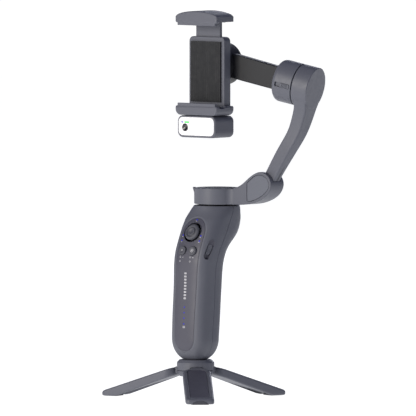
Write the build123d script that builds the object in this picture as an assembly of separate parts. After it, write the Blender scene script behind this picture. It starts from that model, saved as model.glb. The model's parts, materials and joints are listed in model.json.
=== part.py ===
from build123d import *
import os
from math import copysign, cos, pi, radians, sin, tan

# A hand-held phone gimbal on its own mini tripod. Every place below is written from the tripod's
# hub axis: X to the right, Y away from the user, Z up from the floor. save() moves each piece so
# that the part's origin is the middle of its footprint on the floor.

os.makedirs("parts", exist_ok=True)

# ---- driving dimensions, millimetres ----
FOOTPRINT_X, FOOTPRINT_Y = 9.83, 7.27     # middle of the footprint, from the hub axis
FIT = 0.25                                # gap round a piece that moves or is let in
WALL = 2.6                                # moulded shell

# tripod
HUB_R, HUB_LOW, HUB_SEAM, HUB_TOP = 15.55, 18.5, 23.4, 32.4
LEG_ANGLES = {"front": 42.7, "rear": 162.7, "left": -77.3}   # from -Y towards +X
LEG_PIN_R, LEG_TIP_R = 11.5, 82.8         # hinge pin and tip, from the hub axis
LEG_WIDTH, LEG_SLOPE = 23.5, 17.7
LEG_TIP_HIGH, LEG_FLAT_R = 3.2, 69.0      # tip's height; where the leg's underside meets the floor
TAB_WIDTH, TAB_R, PIN_R = 9.5, 2.5, 1.25
FOOT_PROUD = 0.4
SCREW_R, SCREW_TOP = 3.175, 41.0          # 1/4 inch camera screw

# handle: height, half width, front and back
HANDLE_LOW, HANDLE_ROUND, HANDLE_TOP = 32.5, 51.0, 159.5
HANDLE_SECTIONS = (
    (51.0, 17.5, -14.7, 15.5), (64.5, 17.5, -14.3, 16.8), (81.0, 17.5, -13.2, 17.9),
    (98.0, 17.5, -12.1, 19.3), (114.0, 17.7, -11.6, 21.6), (121.0, 17.9, -10.3, 24.2),
    (128.0, 18.2, -8.0, 29.2), (134.0, 18.5, -5.1, 36.9), (141.0, 18.8, -2.0, 41.7),
    (147.5, 19.0, 2.2, 43.1), (154.0, 19.0, 7.2, 45.0), (159.5, 19.0, 8.6, 46.6),
)
SEAM = ((0.0, 30.0), (0.3, 48.0), (3.2, 81.0), (3.8, 100.0), (7.4, 120.0), (17.0, 138.0), (28.0, 162.0))
PANEL_LOW, PANEL_HIGH, PANEL_HALF_LOW, PANEL_HALF_HIGH = 38.8, 150.2, 10.5, 12.4
PANEL_THICK = 1.3
STICK_Z, STICK_SPHERE, STICK_DEPTH = 137.0, 8.6, 5.0
BUTTON_Z, BUTTON_X, BUTTON_R, BUTTON_PROUD = 123.0, 5.5, 3.75, 1.0
BATTERY_LIGHTS = (76.4, 71.9, 67.3, 62.6)
STATUS_LIGHTS = ((0.0, 147.0), (-9.0, 135.0), (9.0, 135.0), (-9.5, 130.5), (9.5, 130.5))
ZOOM_AT, ZOOM_OUT, ZOOM_LONG, ZOOM_WIDE, ZOOM_LEAN = (16.4, -3.0, 123.0), (0.90, -0.435), 16.6, 4.6, 26.0

# pan ring and hinge yoke
PAN_Y, PAN_R, PAN_LOW, PAN_TOP, PAN_FLOOR = 27.6, 19.0, 160.7, 174.0, 170.0
YOKE_FRONT, YOKE_BACK, SLOT_FRONT, SLOT_BACK = 22.0, 39.7, 26.0, 35.8
HINGE_X, HINGE_Z, HINGE_R, HINGE_PIN_R = 50.3, 176.5, 12.3, 2.5
KNUCKLE_R = 8.4

# folding arm: centre-line x, y, z, lean, yaw, width; its thickness is the same all the way
ARM_THICK = 11.6
ARM_STATIONS = (
    (54.8, 30.9, 180.7, 33.0, 0.0, 9.2), (60.2, 30.9, 189.1, 33.0, 0.0, 9.2),
    (68.2, 31.6, 201.4, 33.0, 0.0, 11.0), (76.0, 33.0, 213.4, 32.0, 0.0, 12.1),
    (81.9, 35.2, 225.1, 22.4, 6.0, 14.0), (86.2, 37.0, 239.3, 11.7, 14.1, 18.8),
    (87.5, 37.5, 245.5, 11.7, 14.1, 25.0), (89.0, 37.8, 252.8, 11.7, 14.1, 30.0),
)

# tilt drum: the middle of its gap, its axis towards the folding arm, and its two halves
DRUM = Vector(82.6, 36.0, 261.7)
DRUM_AXIS = Vector(0.9485, 0.2388, -0.2096).normalized()
DRUM_R, DRUM_GAP, DRUM_ARM_SIDE, DRUM_PHONE_SIDE = 17.6, 0.8, 14.2, 18.7
LOCK_TURN, LOCK_NEAR, LOCK_FAR, LOCK_WIDE, LOCK_LONG = 6.0, 1.6, 15.2, 4.0, 8.6

# roll motor behind the clamp
ROLL_Z, ROLL_FRONT, ROLL_BACK, ROLL_R = 277.0, 24.0, 42.0, 17.6
TILT_BAR_HIGH, TILT_BAR_FRONT, TILT_BAR_BACK = 21.0, 28.5, 35.5

# phone clamp; the phone lies between the pads
JAW_HALF, JAW_FRONT, JAW_BACK = 22.5, 0.2, 23.0
GAP_LOW, GAP_HIGH, LIP_THICK, LIP_HIGH = 241.7, 312.8, 3.4, 3.3
JAW_LOW, JAW_TOP, PAD = 235.0, 321.6, 1.0
SPINE_FRONT, SPINE_HALF, SPINE_TOP, REST_Y = 14.2, 19.0, 300.0, 12.2
TONGUE_HALF, TONGUE_FRONT, TONGUE_BACK, TONGUE_LOW = 13.0, 16.0, 19.0, 266.0

# tracking module under the lower jaw
MODULE_HALF, MODULE_FRONT, MODULE_BACK, MODULE_LOW = 20.5, -0.2, 25.8, 216.4
LENS_X, LENS_Z, LENS_R = -8.6, 225.6, 3.1


def save(name, *solids):
    """Write one node, moved from the hub axis to the part's own origin."""
    shape = Compound([solid for piece in solids for solid in piece.solids()])
    export_step(Pos(-FOOTPRINT_X, -FOOTPRINT_Y, 0) * shape, f"parts/{name}.step")


def tube(outer, inner, low, high):
    """A round tube on the local Z axis between two heights; inner 0 gives a rod."""
    body = Pos(0, 0, (low + high) / 2) * Cylinder(outer, high - low)
    if not inner:
        return body
    return body - Pos(0, 0, (low + high) / 2) * Cylinder(inner, high - low + 1)


def block(low, high):
    """A box from its lowest to its highest corner."""
    size = [b - a for a, b in zip(low, high)]
    return Pos(*[(a + b) / 2 for a, b in zip(low, high)]) * Box(*size)


def prism(outline, low, high, plane):
    """An outline drawn on a plane, raised from one height above it to another."""
    return extrude(plane.offset(low) * make_face(outline), high - low)


# ---- tripod ----

def leg_height(r):
    """Height of a leg's upper side at a distance from the hub axis."""
    return LEG_TIP_HIGH + tan(radians(LEG_SLOPE)) * (LEG_TIP_R - r)


def leg_place(angle):
    """Turns a leg drawn along +X into its own direction."""
    return Rot(0, 0, angle - 90)


def hub_and_base():
    profile = Polyline((0, HUB_LOW), (HUB_R - 2.6, HUB_LOW), (HUB_R - 0.8, HUB_LOW + 0.9),
                       (HUB_R, HUB_LOW + 2.8), (HUB_R, HUB_TOP - 2.3), (HUB_R - 2.3, HUB_TOP),
                       (0, HUB_TOP), (0, HUB_LOW))
    whole = revolve(Plane.XZ * make_face(profile), Axis.Z)
    whole -= tube(SCREW_R + 0.2, 0, HUB_SEAM, HUB_TOP + 1) + tube(5.6, 0, HUB_SEAM - 0.01, 27.0)
    for angle in LEG_ANGLES.values():
        high = HUB_SEAM + TAB_R + FIT
        slot = block((LEG_PIN_R - TAB_R - FIT, -TAB_WIDTH / 2 - FIT, HUB_LOW - 1),
                     (HUB_R + 1, TAB_WIDTH / 2 + FIT, high))
        pin_hole = Pos(LEG_PIN_R, 0, HUB_SEAM) * Rot(90, 0, 0) * Cylinder(PIN_R, TAB_WIDTH + 4)
        whole -= leg_place(angle) * (slot + pin_hole)
    cut = block((-20, -20, 0), (20, 20, HUB_SEAM))
    return whole - cut, whole & cut


def leg():
    """A leg along +X: flat bar, thicker and cut level at its tip, with a hinge tab at the hub."""
    start = HUB_R + 2.0
    under = leg_height(start) - 5.0
    side = Polyline((start, under), (LEG_FLAT_R, FOOT_PROUD), (LEG_TIP_R, FOOT_PROUD),
                    (LEG_TIP_R, leg_height(LEG_TIP_R)), (start, leg_height(start)), (start, under))
    bar = prism(side, -LEG_WIDTH / 2, LEG_WIDTH / 2, Plane.XZ)
    bar = fillet(bar.edges().filter_by(lambda e: e.length > 40), 2.0)
    plan = Plane.XY * Pos((start + LEG_TIP_R) / 2, 0) * RectangleRounded(LEG_TIP_R - start, LEG_WIDTH, 5.0)
    bar &= extrude(plan, 60)
    reach = start + 3.0
    tab_side = Polyline((LEG_PIN_R, HUB_SEAM + TAB_R), (LEG_PIN_R, HUB_SEAM - TAB_R),
                        (reach, leg_height(reach) - 4.6), (reach, leg_height(reach) - 0.6),
                        (LEG_PIN_R, HUB_SEAM + TAB_R))
    tab = prism(tab_side, -TAB_WIDTH / 2, TAB_WIDTH / 2, Plane.XZ)
    across = Pos(LEG_PIN_R, 0, HUB_SEAM) * Rot(90, 0, 0)
    bore = across * Cylinder(PIN_R + 0.04, TAB_WIDTH + 1)
    return bar + tab + across * Cylinder(TAB_R, TAB_WIDTH) - bore


def leg_inlay_space(grow):
    """The shallow panel let into a leg's upper side, or its pocket when grown."""
    middle = (LEG_TIP_R + HUB_R) / 2 - 1.5
    outline = Pos(middle, 0) * RectangleRounded(55 + 2 * grow, 15.7 + 2 * grow, 3.5)
    slab = Polyline((0, leg_height(0) - 1.0 - grow), (LEG_TIP_R, leg_height(LEG_TIP_R) - 1.0 - grow),
                    (LEG_TIP_R, leg_height(LEG_TIP_R) - 0.15 + grow), (0, leg_height(0) - 0.15 + grow),
                    (0, leg_height(0) - 1.0 - grow))
    return extrude(outline, 60) & prism(slab, -15, 15, Plane.XZ)


def foot_space():
    """The rubber foot: a pad let into the underside of the leg's tip."""
    under = Pos(76.5, 0) * RectangleRounded(12.4, 15.0, 3.0)
    return extrude(under, FOOT_PROUD + 1.2)


def make_tripod():
    hub, base = hub_and_base()
    pins = []
    for name, angle in LEG_ANGLES.items():
        place = leg_place(angle)
        pins.append(place * Pos(LEG_PIN_R, 0, HUB_SEAM) * Rot(90, 0, 0) * Cylinder(PIN_R, TAB_WIDTH + 4))
        body = leg() - leg_inlay_space(0.15) - foot_space()
        save(f"leg_{name}", place * body)
        save(f"leg_inlay_{name}", place * leg_inlay_space(0))
        save(f"foot_pad_{name}", place * foot_space())
    save("tripod_hub", hub)
    save("tripod_base", base)
    save("leg_pins", *pins)
    save("tripod_screw", tube(SCREW_R, 0, 26.5, SCREW_TOP) + tube(5.5, 0, 23.5, 26.5))


# ---- handle ----

def squircle(half_x, front, back, z, power):
    """A closed ring at one height: |x/a| to a power, plus |y/b| to the same power, is 1."""
    middle, half_y, count = (front + back) / 2, (back - front) / 2, 24
    ring = []
    for i in range(count):
        c, s = cos(2 * pi * (i + 0.5) / count), sin(2 * pi * (i + 0.5) / count)
        x = copysign(abs(c) ** (2 / power), c)
        y = copysign(abs(s) ** (2 / power), s)
        ring.append((half_x * x, middle + half_y * y, z))
    return Wire([Edge.make_spline([Vector(*p) for p in ring], periodic=True)])


def roundness(z):
    """The ring's power: a soft rectangle along the grip, a circle at the motor."""
    return 3.0 - max(0.0, min(1.0, (z - 128.0) / (HANDLE_TOP - 128.0)))


def handle_form(inset, low, high):
    """The handle's outer form, drawn in by inset and cut level at two heights."""
    rings = []
    half, front, back = HANDLE_SECTIONS[0][1:]
    for z in sorted({low, 34.6, 37.9, 41.3, 46.0}):
        if z >= low:
            scale = (1 - ((HANDLE_ROUND - z) / 20.6) ** 2.2) ** (1 / 2.2)
            middle, half_y = (front + back) / 2, (back - front) / 2
            rings.append(squircle((half - inset) * scale, middle - (half_y - inset) * scale,
                                  middle + (half_y - inset) * scale, z, 3.0))
    for z, half_x, near, far in HANDLE_SECTIONS:
        rings.append(squircle(half_x - inset, near + inset, far - inset, min(z, high), roundness(z)))
    if high > HANDLE_TOP:
        rings[-1] = squircle(half_x - inset, near + inset, far - inset, high, roundness(z))
    return Solid.make_loft(rings)


def front_y(z):
    """The handle's front face at a height, on its middle line."""
    rows = HANDLE_SECTIONS
    for (za, _, ya, _), (zb, _, yb, _) in zip(rows, rows[1:]):
        if z <= zb:
            return ya + (yb - ya) * (z - za) / (zb - za)
    return rows[-1][2]


def face_plane(x, z):
    """A plane on the control face at a place, its Z axis pointing out of the handle."""
    lean = (front_y(z + 2) - front_y(z - 2)) / 4
    return Plane(origin=(x, front_y(z), z), x_dir=(1, 0, 0), z_dir=(0, -1, lean))


def panel_prism(grow):
    """The control panel's outline, seen from the front, carried through the handle's front half."""
    low, high = PANEL_LOW - grow, PANEL_HIGH + grow
    narrow, wide = PANEL_HALF_LOW + grow, PANEL_HALF_HIGH + grow
    outline = make_face(
        Line((-narrow, low + 10), (-wide, 126)) + Line((-wide, 126), (-wide, high - 12))
        + ThreePointArc((-wide, high - 12), (0, high), (wide, high - 12))
        + Line((wide, high - 12), (wide, 126)) + Line((wide, 126), (narrow, low + 10))
        + ThreePointArc((narrow, low + 10), (0, low), (-narrow, low + 10))
    )
    return extrude(Plane.XZ * outline, 40) + extrude(Plane.XZ * outline, -9)


def zoom_plane():
    """The plane of the zoom slot, on the rounded front corner of the handle's right side."""
    lean, (x, y) = radians(ZOOM_LEAN), ZOOM_OUT
    return Plane(origin=ZOOM_AT, x_dir=(-y * sin(lean), x * sin(lean), cos(lean)), z_dir=(x, y, 0))


def handle_openings():
    """Round holes through the panel and the front shell for the thumb stick and the two buttons."""
    stick = face_plane(0, STICK_Z).offset(-STICK_DEPTH)
    holes = stick * Sphere(STICK_SPHERE + FIT)
    for x in (-BUTTON_X, BUTTON_X):
        holes += face_plane(x, BUTTON_Z) * tube(BUTTON_R + FIT, 0, -8, 4)
    return holes


def light_windows():
    """Small round light windows: four for the battery and five round the stick."""
    windows = [face_plane(0, z) * tube(0.7, 0, -PANEL_THICK, 0.1) for z in BATTERY_LIGHTS]
    for x, z in STATUS_LIGHTS:
        fall = 1 - (1 - abs(x / 18.5) ** 3) ** (1 / 3)     # how far the squircle drops away at x
        windows.append(face_plane(x, z).offset(-21 * fall) * tube(0.9, 0, -0.9, 0.3))
    return windows


def make_handle():
    outer = handle_form(0, HANDLE_LOW, HANDLE_TOP)
    inner = handle_form(WALL, 36.5, HANDLE_TOP + 1)
    skin = outer - handle_form(PANEL_THICK, 34.6, HANDLE_TOP + 1)
    pocket = handle_form(-1.0, 34.6, HANDLE_TOP + 1) - handle_form(PANEL_THICK + 0.15, 34.6, HANDLE_TOP + 1)
    panel_pocket = pocket & panel_prism(0.2)
    openings = handle_openings()
    zoom = zoom_plane()
    bezel_room = zoom.offset(-1.0) * extrude(SlotOverall(ZOOM_LONG + 1.6, ZOOM_WIDE + 1.6), 6)
    zoom_hole = bezel_room + zoom.offset(-6) * extrude(SlotOverall(ZOOM_LONG, ZOOM_WIDE), 8)
    port = block((-20, 4.0, 119.4), (-11.0, 13.0, 122.6))
    insert = tube(5.0, 0, 30, 44.0)
    shell = outer - inner - panel_pocket - openings - zoom_hole - port - insert
    behind = make_face(Polyline(*SEAM, (60, 162), (60, 30), SEAM[0]))
    behind = extrude(Plane.YZ * behind, 30, both=True)
    save("handle_front_shell", shell - behind)
    save("handle_back_shell", shell & behind)

    lights = light_windows()
    panel = (skin & panel_prism(0)) - openings
    for window in lights:
        panel -= window
    save("control_panel", panel)
    save("status_lights", *lights)
    save("thread_insert", tube(5.0, SCREW_R + 0.03, HANDLE_LOW + 0.3, 44.0))
    save("battery_cell", Pos(0, 3.2, 0) * tube(9.2, 0, 50, 115))
    board = Polyline((-10.6, 52), (-9.2, 52), (-6.5, 112), (-7.9, 112), (-10.6, 52))
    save("main_board", extrude(Plane.YZ * make_face(board), 7.5, both=True))
    save("usb_port", port & block((-17.6, 0, 110), (-10, 20, 130)))
    make_stick()
    for name, x in (("mode_button", -BUTTON_X), ("record_button", BUTTON_X)):
        cap = tube(BUTTON_R, 0, -3.2, BUTTON_PROUD)
        cap = fillet(cap.edges().sort_by(Axis.Z)[-1], 0.5)
        save(name, face_plane(x, BUTTON_Z) * cap)
    make_zoom(zoom)


def make_stick():
    """Thumb stick: a domed cap on a stem, a tilting ring at its pivot, and a base behind the panel."""
    pivot = face_plane(0, STICK_Z).offset(-STICK_DEPTH)
    dome = Sphere(STICK_SPHERE) - Sphere(STICK_SPHERE - 1.6) - block((-9, -9, -9), (9, 9, 2.6))
    dome += tube(1.2, 0, -3.0, STICK_SPHERE - 0.8) + tube(3.0, 0, STICK_SPHERE - 0.6, STICK_SPHERE + 1.1)
    save("joystick_cap", pivot * dome)
    save("joystick_ring", pivot * tube(3.4, 1.9, -0.8, 0.8))
    save("joystick_base", pivot * (block((-7, -7, -7.5), (7, 7, -4.6))
                                   + tube(5.4, 4.3, -4.6, 0.0)))


def make_zoom(plane):
    """Zoom slider: a bezel in the handle's side and a ribbed slider in its slot."""
    bezel = extrude(SlotOverall(ZOOM_LONG + 1.6, ZOOM_WIDE + 1.6), 1.3)
    bezel -= extrude(SlotOverall(ZOOM_LONG, ZOOM_WIDE), 3, both=True)
    save("zoom_bezel", plane.offset(-1.0) * bezel)
    slider = extrude(SlotOverall(9.0, ZOOM_WIDE - 0.6), 1.4, both=True)
    for x in (-1.6, 0, 1.6):
        slider += Pos(x, 0, 1.4) * Box(0.6, 3.4, 0.6)
    save("zoom_slider", plane * slider)


# ---- motors ----

def motor(name, plane, boss_reach):
    """One outrunner motor on a plane whose Z axis runs from the rotor's plate to the stator's.

    Writes the stator, magnets, bearing and shaft, and returns the bell for the rotor's housing
    and the boss for the stator's.
    """
    stator = tube(11.4, 5.5, 0.8, 8.0)
    for i in range(12):
        stator -= Rot(0, 0, 30 * i) * Pos(9.6, 0, 4.4) * Box(4.4, 1.6, 10)
    save(f"{name}_stator", plane * stator)
    save(f"{name}_magnets", plane * tube(13.6, 12.0, 0.6, 8.2))
    save(f"{name}_bearing", plane * tube(4.0, 2.03, 2.0, 7.0))
    save(f"{name}_shaft", plane * tube(2.0, 0, -1.9, 9.0))
    return plane * tube(15.0, 13.6, -0.5, 8.6), plane * tube(5.5, 4.0, 0.8, boss_reach)


# ---- pan ring and yoke ----

def yoke_outline():
    """The yoke seen from the front: a bar off the ring that swells into a round hinge end."""
    right = (HINGE_X + HINGE_R, HINGE_Z + 2.0)
    top = (HINGE_X + 1.0, HINGE_Z + HINGE_R)
    return make_face(
        Line((8, PAN_LOW), (28, PAN_LOW))
        + Spline((28, PAN_LOW), (40.5, 162.0), (51.7, 165.6), (60.0, 171.8), right,
                 tangents=((1, 0), (0, 1)))
        + ThreePointArc(right, (HINGE_X + 9.3, HINGE_Z + 8.9), top)
        + Spline(top, (43.9, 186.7), (37.2, 182.4), (30.4, 177.5), (20, PAN_TOP),
                 tangents=((-1, 0), (-1, -0.1)))
        + Line((20, PAN_TOP), (8, PAN_TOP)) + Line((8, PAN_TOP), (8, PAN_LOW))
    )


def cover_outline(inset):
    """The let-in cover on the yoke's front: straight inner edge, round outer end."""
    c = inset
    return make_face(
        Line((37.0 + c, 165.2 + c), (37.0 + c, 179.3 - c / 2)) + Line((37.0 + c, 179.3 - c / 2), (44.9, 185.1 - c))
        + Spline((44.9, 185.1 - c), (52.7, 186.1 - c), (59.9 - c, 180.5), (60.0 - c, 176.0),
                 (56.5 - c, 171.7), (49.8, 167.3 + c), (40.2, 163.9 + c))
        + Line((40.2, 163.9 + c), (37.0 + c, 165.2 + c))
    )


def slot_space():
    """Room for the folding arm between the yoke's cheeks, open above and to the left."""
    lean = radians(33.0)
    right = ARM_THICK / 2 + 0.6
    foot = (HINGE_X + 1.4 + right * cos(lean) - 3, HINGE_Z - right * sin(lean) - 3 / tan(lean))
    far = (foot[0] + 60 * sin(lean), foot[1] + 60 * cos(lean))
    room = make_face(Polyline((HINGE_X - 8.6, HINGE_Z), (HINGE_X - 8.6, 225), far, foot,
                              (HINGE_X - 8.6, HINGE_Z)))
    room += Pos(HINGE_X, HINGE_Z) * Circle(KNUCKLE_R + 0.5)
    return extrude(Plane.XZ.offset(-SLOT_BACK) * room, SLOT_BACK - SLOT_FRONT)


def along_y(x, z):
    """A place on the front plane, with its Z axis running away from the user."""
    return Plane(origin=(x, 0, z), x_dir=(1, 0, 0), z_dir=(0, 1, 0))


def make_pan():
    top = Plane(origin=(0, PAN_Y, PAN_FLOOR), x_dir=(1, 0, 0), z_dir=(0, 0, -1))
    bell, boss = motor("pan", top, PAN_FLOOR - HANDLE_TOP)
    ring_at = Pos(0, PAN_Y, 0)
    save("pan_motor_base", ring_at * tube(15.3, 4.0, 157.2, HANDLE_TOP) + boss)
    yoke = extrude(Plane.XZ.offset(-YOKE_BACK) * yoke_outline(), YOKE_BACK - YOKE_FRONT)
    arm = ring_at * tube(PAN_R, 0, PAN_LOW, PAN_TOP) + yoke
    arm -= ring_at * tube(16.6, 0, PAN_LOW - 1, PAN_FLOOR)
    arm -= ring_at * tube(17.0, 0, PAN_TOP - 2.0, PAN_TOP + 20)
    arm += bell
    arm -= ring_at * tube(2.0, 0, PAN_FLOOR - 3, PAN_TOP) + slot_space()
    pin = along_y(HINGE_X, HINGE_Z) * tube(HINGE_PIN_R, 0, YOKE_FRONT + 1.2, 38.4)
    cover = extrude(Plane.XZ.offset(-YOKE_FRONT - 1.2) * cover_outline(0), 2.0)
    arm -= pin + cover
    lip = Pos(0, PAN_Y, PAN_TOP) * Rot(0, 0, 220) * Pos(PAN_R - 1.05, 0, 0.3) * Cone(0.8, 0.3, 1.8)
    save("pan_arm", arm + lip)
    dish = tube(16.8, 0, PAN_TOP - 2.0, PAN_TOP - 0.4) - Pos(0, 0, PAN_TOP + 119.2) * Sphere(120.5)
    save("pan_cap", ring_at * dish)
    save("hinge_cover", extrude(Plane.XZ.offset(-YOKE_FRONT - 1.2) * cover_outline(0.2), 1.05))
    save("fold_pin", pin)


# ---- folding arm and tilt drum ----

def arm_section(x, y, z, lean, yaw, width):
    """One rounded cross-section of the folding arm."""
    a, b = radians(lean), radians(yaw)
    across = (cos(a) * cos(b), cos(a) * sin(b), -sin(a))
    up = (sin(a) * cos(b), sin(a) * sin(b), cos(a))
    return Plane(origin=(x, y, z), x_dir=across, z_dir=up) * RectangleRounded(ARM_THICK, width, 1.6)


def make_fold_arm(drum, boss):
    bar = loft([arm_section(*station) for station in ARM_STATIONS])
    knuckle = along_y(HINGE_X, HINGE_Z) * tube(KNUCKLE_R, 0, SLOT_FRONT + 0.3, SLOT_BACK - 0.3)
    shell = drum * tube(DRUM_R, 0, DRUM_GAP / 2, DRUM_ARM_SIDE + DRUM_GAP / 2)
    arm = bar + knuckle + shell
    arm -= drum * tube(14.6, 0, -5, 11.6)
    arm += boss
    arm -= along_y(HINGE_X, HINGE_Z) * tube(HINGE_PIN_R + 0.04, 0, 20, 45)
    save("fold_arm", arm)


def make_tilt():
    drum = Plane(origin=DRUM, x_dir=(0.244, -0.970, 0.0), z_dir=DRUM_AXIS)
    bell, boss = motor("tilt", drum.offset(-12.0), 12.0 + 12.0)
    make_fold_arm(drum, boss)
    end = -DRUM_GAP / 2 - DRUM_PHONE_SIDE
    shell = tube(DRUM_R, 0, end, -DRUM_GAP / 2)
    shell = fillet(shell.edges().sort_by(Axis.Z)[0], 4.5)
    shell -= tube(15.6, 0, -12.0, 5)
    groove = Rot(0, 0, LOCK_TURN) * block((DRUM_R - 1.6, -LOCK_WIDE / 2, -LOCK_FAR),
                                           (DRUM_R + 2, LOCK_WIDE / 2, -LOCK_NEAR))
    slider = Rot(0, 0, LOCK_TURN) * block((DRUM_R - 1.4, -LOCK_WIDE / 2 + 0.2, -LOCK_NEAR - LOCK_LONG),
                                           (DRUM_R + 0.5, LOCK_WIDE / 2 - 0.2, -LOCK_NEAR - 0.2))
    save("tilt_lock_slider", drum * slider)
    housing = drum * (shell - groove) + bell
    housing -= drum * tube(2.0, 0, -16, -10)
    save("tilt_housing", housing)
    make_tilt_arm(drum * tube(DRUM_R + 0.01, 0, end, 5))


def make_tilt_arm(drum_room):
    """The dark bar behind the phone, with the roll motor's cup at its middle."""
    middle = along_y(0, ROLL_Z)
    bell, boss = motor("roll", along_y(0, ROLL_Z).offset(JAW_BACK), 16.2)
    high = TILT_BAR_HIGH / 2
    far = DRUM - DRUM_AXIS * 17.0
    bar = make_face(Polyline((8, ROLL_Z + high), (far.X, far.Z + high + 1), (far.X, far.Z - high + 1),
                             (8, ROLL_Z - high), (8, ROLL_Z + high)))
    bar = extrude(Plane.XZ.offset(-TILT_BAR_BACK) * bar, TILT_BAR_BACK - TILT_BAR_FRONT)
    cup = middle * tube(ROLL_R, 0, ROLL_FRONT, ROLL_BACK)
    cup = fillet(cup.edges().sort_by(Axis.Y)[-1], 3.0)
    arm = bar + cup - middle * tube(15.6, 0, ROLL_FRONT - 1, 39.0) - drum_room
    save("tilt_arm", arm + boss)
    make_clamp(bell)


# ---- clamp ----

def make_clamp(bell):
    low_jaw = block((-JAW_HALF, JAW_FRONT, JAW_LOW), (JAW_HALF, JAW_BACK, GAP_LOW - PAD))
    low_jaw = fillet(low_jaw.edges().filter_by(Axis.Z), 4.0)
    lip = block((-JAW_HALF + 4, JAW_FRONT, GAP_LOW - PAD - 1), (JAW_HALF - 4, JAW_FRONT + LIP_THICK,
                                                               GAP_LOW + LIP_HIGH))
    spine = block((-SPINE_HALF, SPINE_FRONT, JAW_LOW + 2), (SPINE_HALF, JAW_BACK, SPINE_TOP))
    spine = fillet(spine.edges().filter_by(Axis.Z), 2.5)
    pocket = block((-TONGUE_HALF - FIT, TONGUE_FRONT - FIT, 246), (TONGUE_HALF + FIT, TONGUE_BACK + FIT, 330))
    body = low_jaw + lip + spine - pocket + bell
    body -= along_y(0, ROLL_Z) * tube(2.0, 0, JAW_BACK - 3, JAW_BACK + 1)
    save("clamp_body", body)
    save("lower_jaw_pad", block((-18, JAW_FRONT + LIP_THICK + 0.2, GAP_LOW - PAD),
                                (18, SPINE_FRONT - 2.2, GAP_LOW)))
    save("back_pad", block((-16, REST_Y, 246), (16, SPINE_FRONT, 296)))

    jaw = block((-JAW_HALF, JAW_FRONT, GAP_HIGH + PAD), (JAW_HALF, JAW_BACK, JAW_TOP))
    jaw = fillet(jaw.edges().filter_by(Axis.Z), 4.0)
    jaw = fillet(jaw.edges().group_by(Axis.Z)[-1], 3.0)
    jaw += block((-JAW_HALF + 4, JAW_FRONT, GAP_HIGH - LIP_HIGH), (JAW_HALF - 4, JAW_FRONT + LIP_THICK,
                                                                  GAP_HIGH + PAD + 1))
    jaw += block((-TONGUE_HALF, TONGUE_FRONT, TONGUE_LOW), (TONGUE_HALF, TONGUE_BACK, GAP_HIGH + PAD + 1))
    springs = [Pos(x, (TONGUE_FRONT + TONGUE_BACK) / 2, 0) * tube(1.3, 0.8, 247, TONGUE_LOW) for x in (-8, 8)]
    save("upper_jaw", jaw)
    save("upper_jaw_pad", block((-18, JAW_FRONT + LIP_THICK + 0.2, GAP_HIGH),
                                (18, SPINE_FRONT - 2.2, GAP_HIGH + PAD)))
    save("clamp_springs", *springs)


def make_module():
    body = block((-MODULE_HALF, MODULE_FRONT + 1.0, MODULE_LOW), (MODULE_HALF, MODULE_BACK, JAW_LOW - 0.3))
    body = fillet(body.edges().filter_by(Axis.Z), 5.0)
    body = fillet(body.edges().group_by(Axis.Z)[0], 2.5)
    magnet = block((-12, 6, JAW_LOW - 2.0), (12, 18, JAW_LOW - 0.3))
    lens_at = along_y(LENS_X, LENS_Z)
    lens_hole = lens_at * tube(LENS_R, 0, MODULE_FRONT - 1, MODULE_FRONT + 2.5)
    face_low, face_high = MODULE_LOW + 1.6, JAW_LOW - 1.5
    face = Pos(0, (face_low + face_high) / 2) * RectangleRounded(38.9, face_high - face_low, 4.5)
    face = extrude(Plane.XZ.offset(-MODULE_FRONT - 1.2) * face, 1.2)
    lamps = [along_y(-10.8, 231.0) * tube(0.6, 0, MODULE_FRONT - 0.05, MODULE_FRONT + 1.0),
             Pos(-6.0, MODULE_FRONT + 0.45, 231.0) * Box(4.0, 1.0, 0.9)]
    save("tracker_body", body - magnet - lens_hole - face)
    save("tracker_face", face - lens_hole - lamps[0] - lamps[1])
    lens = lens_at * tube(LENS_R, 0, MODULE_FRONT + 0.3, MODULE_FRONT + 2.5)
    save("tracker_lens", lens)
    save("tracker_lights", *lamps)
    save("tracker_magnet", magnet)


make_tripod()
make_handle()
make_pan()
make_tilt()
make_module()
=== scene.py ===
import json

import bmesh
import bpy
import numpy as np
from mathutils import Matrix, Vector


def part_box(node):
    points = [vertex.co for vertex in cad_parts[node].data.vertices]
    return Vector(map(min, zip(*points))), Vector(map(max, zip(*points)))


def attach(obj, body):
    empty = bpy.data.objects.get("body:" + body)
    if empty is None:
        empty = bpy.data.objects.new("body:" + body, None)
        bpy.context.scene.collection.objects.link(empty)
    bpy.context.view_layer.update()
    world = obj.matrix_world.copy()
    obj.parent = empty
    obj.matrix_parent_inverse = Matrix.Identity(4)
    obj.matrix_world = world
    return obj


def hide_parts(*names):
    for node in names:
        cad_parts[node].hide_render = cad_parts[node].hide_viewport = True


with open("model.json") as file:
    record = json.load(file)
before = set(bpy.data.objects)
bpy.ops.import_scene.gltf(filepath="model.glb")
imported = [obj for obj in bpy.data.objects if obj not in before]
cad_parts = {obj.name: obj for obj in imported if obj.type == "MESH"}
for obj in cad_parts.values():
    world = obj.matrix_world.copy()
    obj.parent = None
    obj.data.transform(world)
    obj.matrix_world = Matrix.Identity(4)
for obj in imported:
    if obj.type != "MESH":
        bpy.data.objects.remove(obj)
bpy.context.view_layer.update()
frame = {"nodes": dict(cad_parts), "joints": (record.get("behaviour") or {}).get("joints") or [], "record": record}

bl_info = {
    "name": "Phone Gimbal Finish",
    "version": (1, 0, 0),
    "blender": (4, 5, 0),
    "location": "3D View > Sidebar > Gimbal",
    "description": "Builds the moulded surfaces, marks and finishes of a phone gimbal round its frame",
    "category": "Add Mesh",
}

# Shapes are worked out in millimetres from the tripod's hub axis: X to the right, Y away from the
# user, Z up. build() turns them to metres and puts them in the frame.
MM = 0.001
JOINTS = {joint["name"]: joint for joint in frame["joints"]}
HUB = np.array([*((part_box("tripod_screw")[0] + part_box("tripod_screw")[1]) / 2 / MM)[:2], 0.0])


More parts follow.
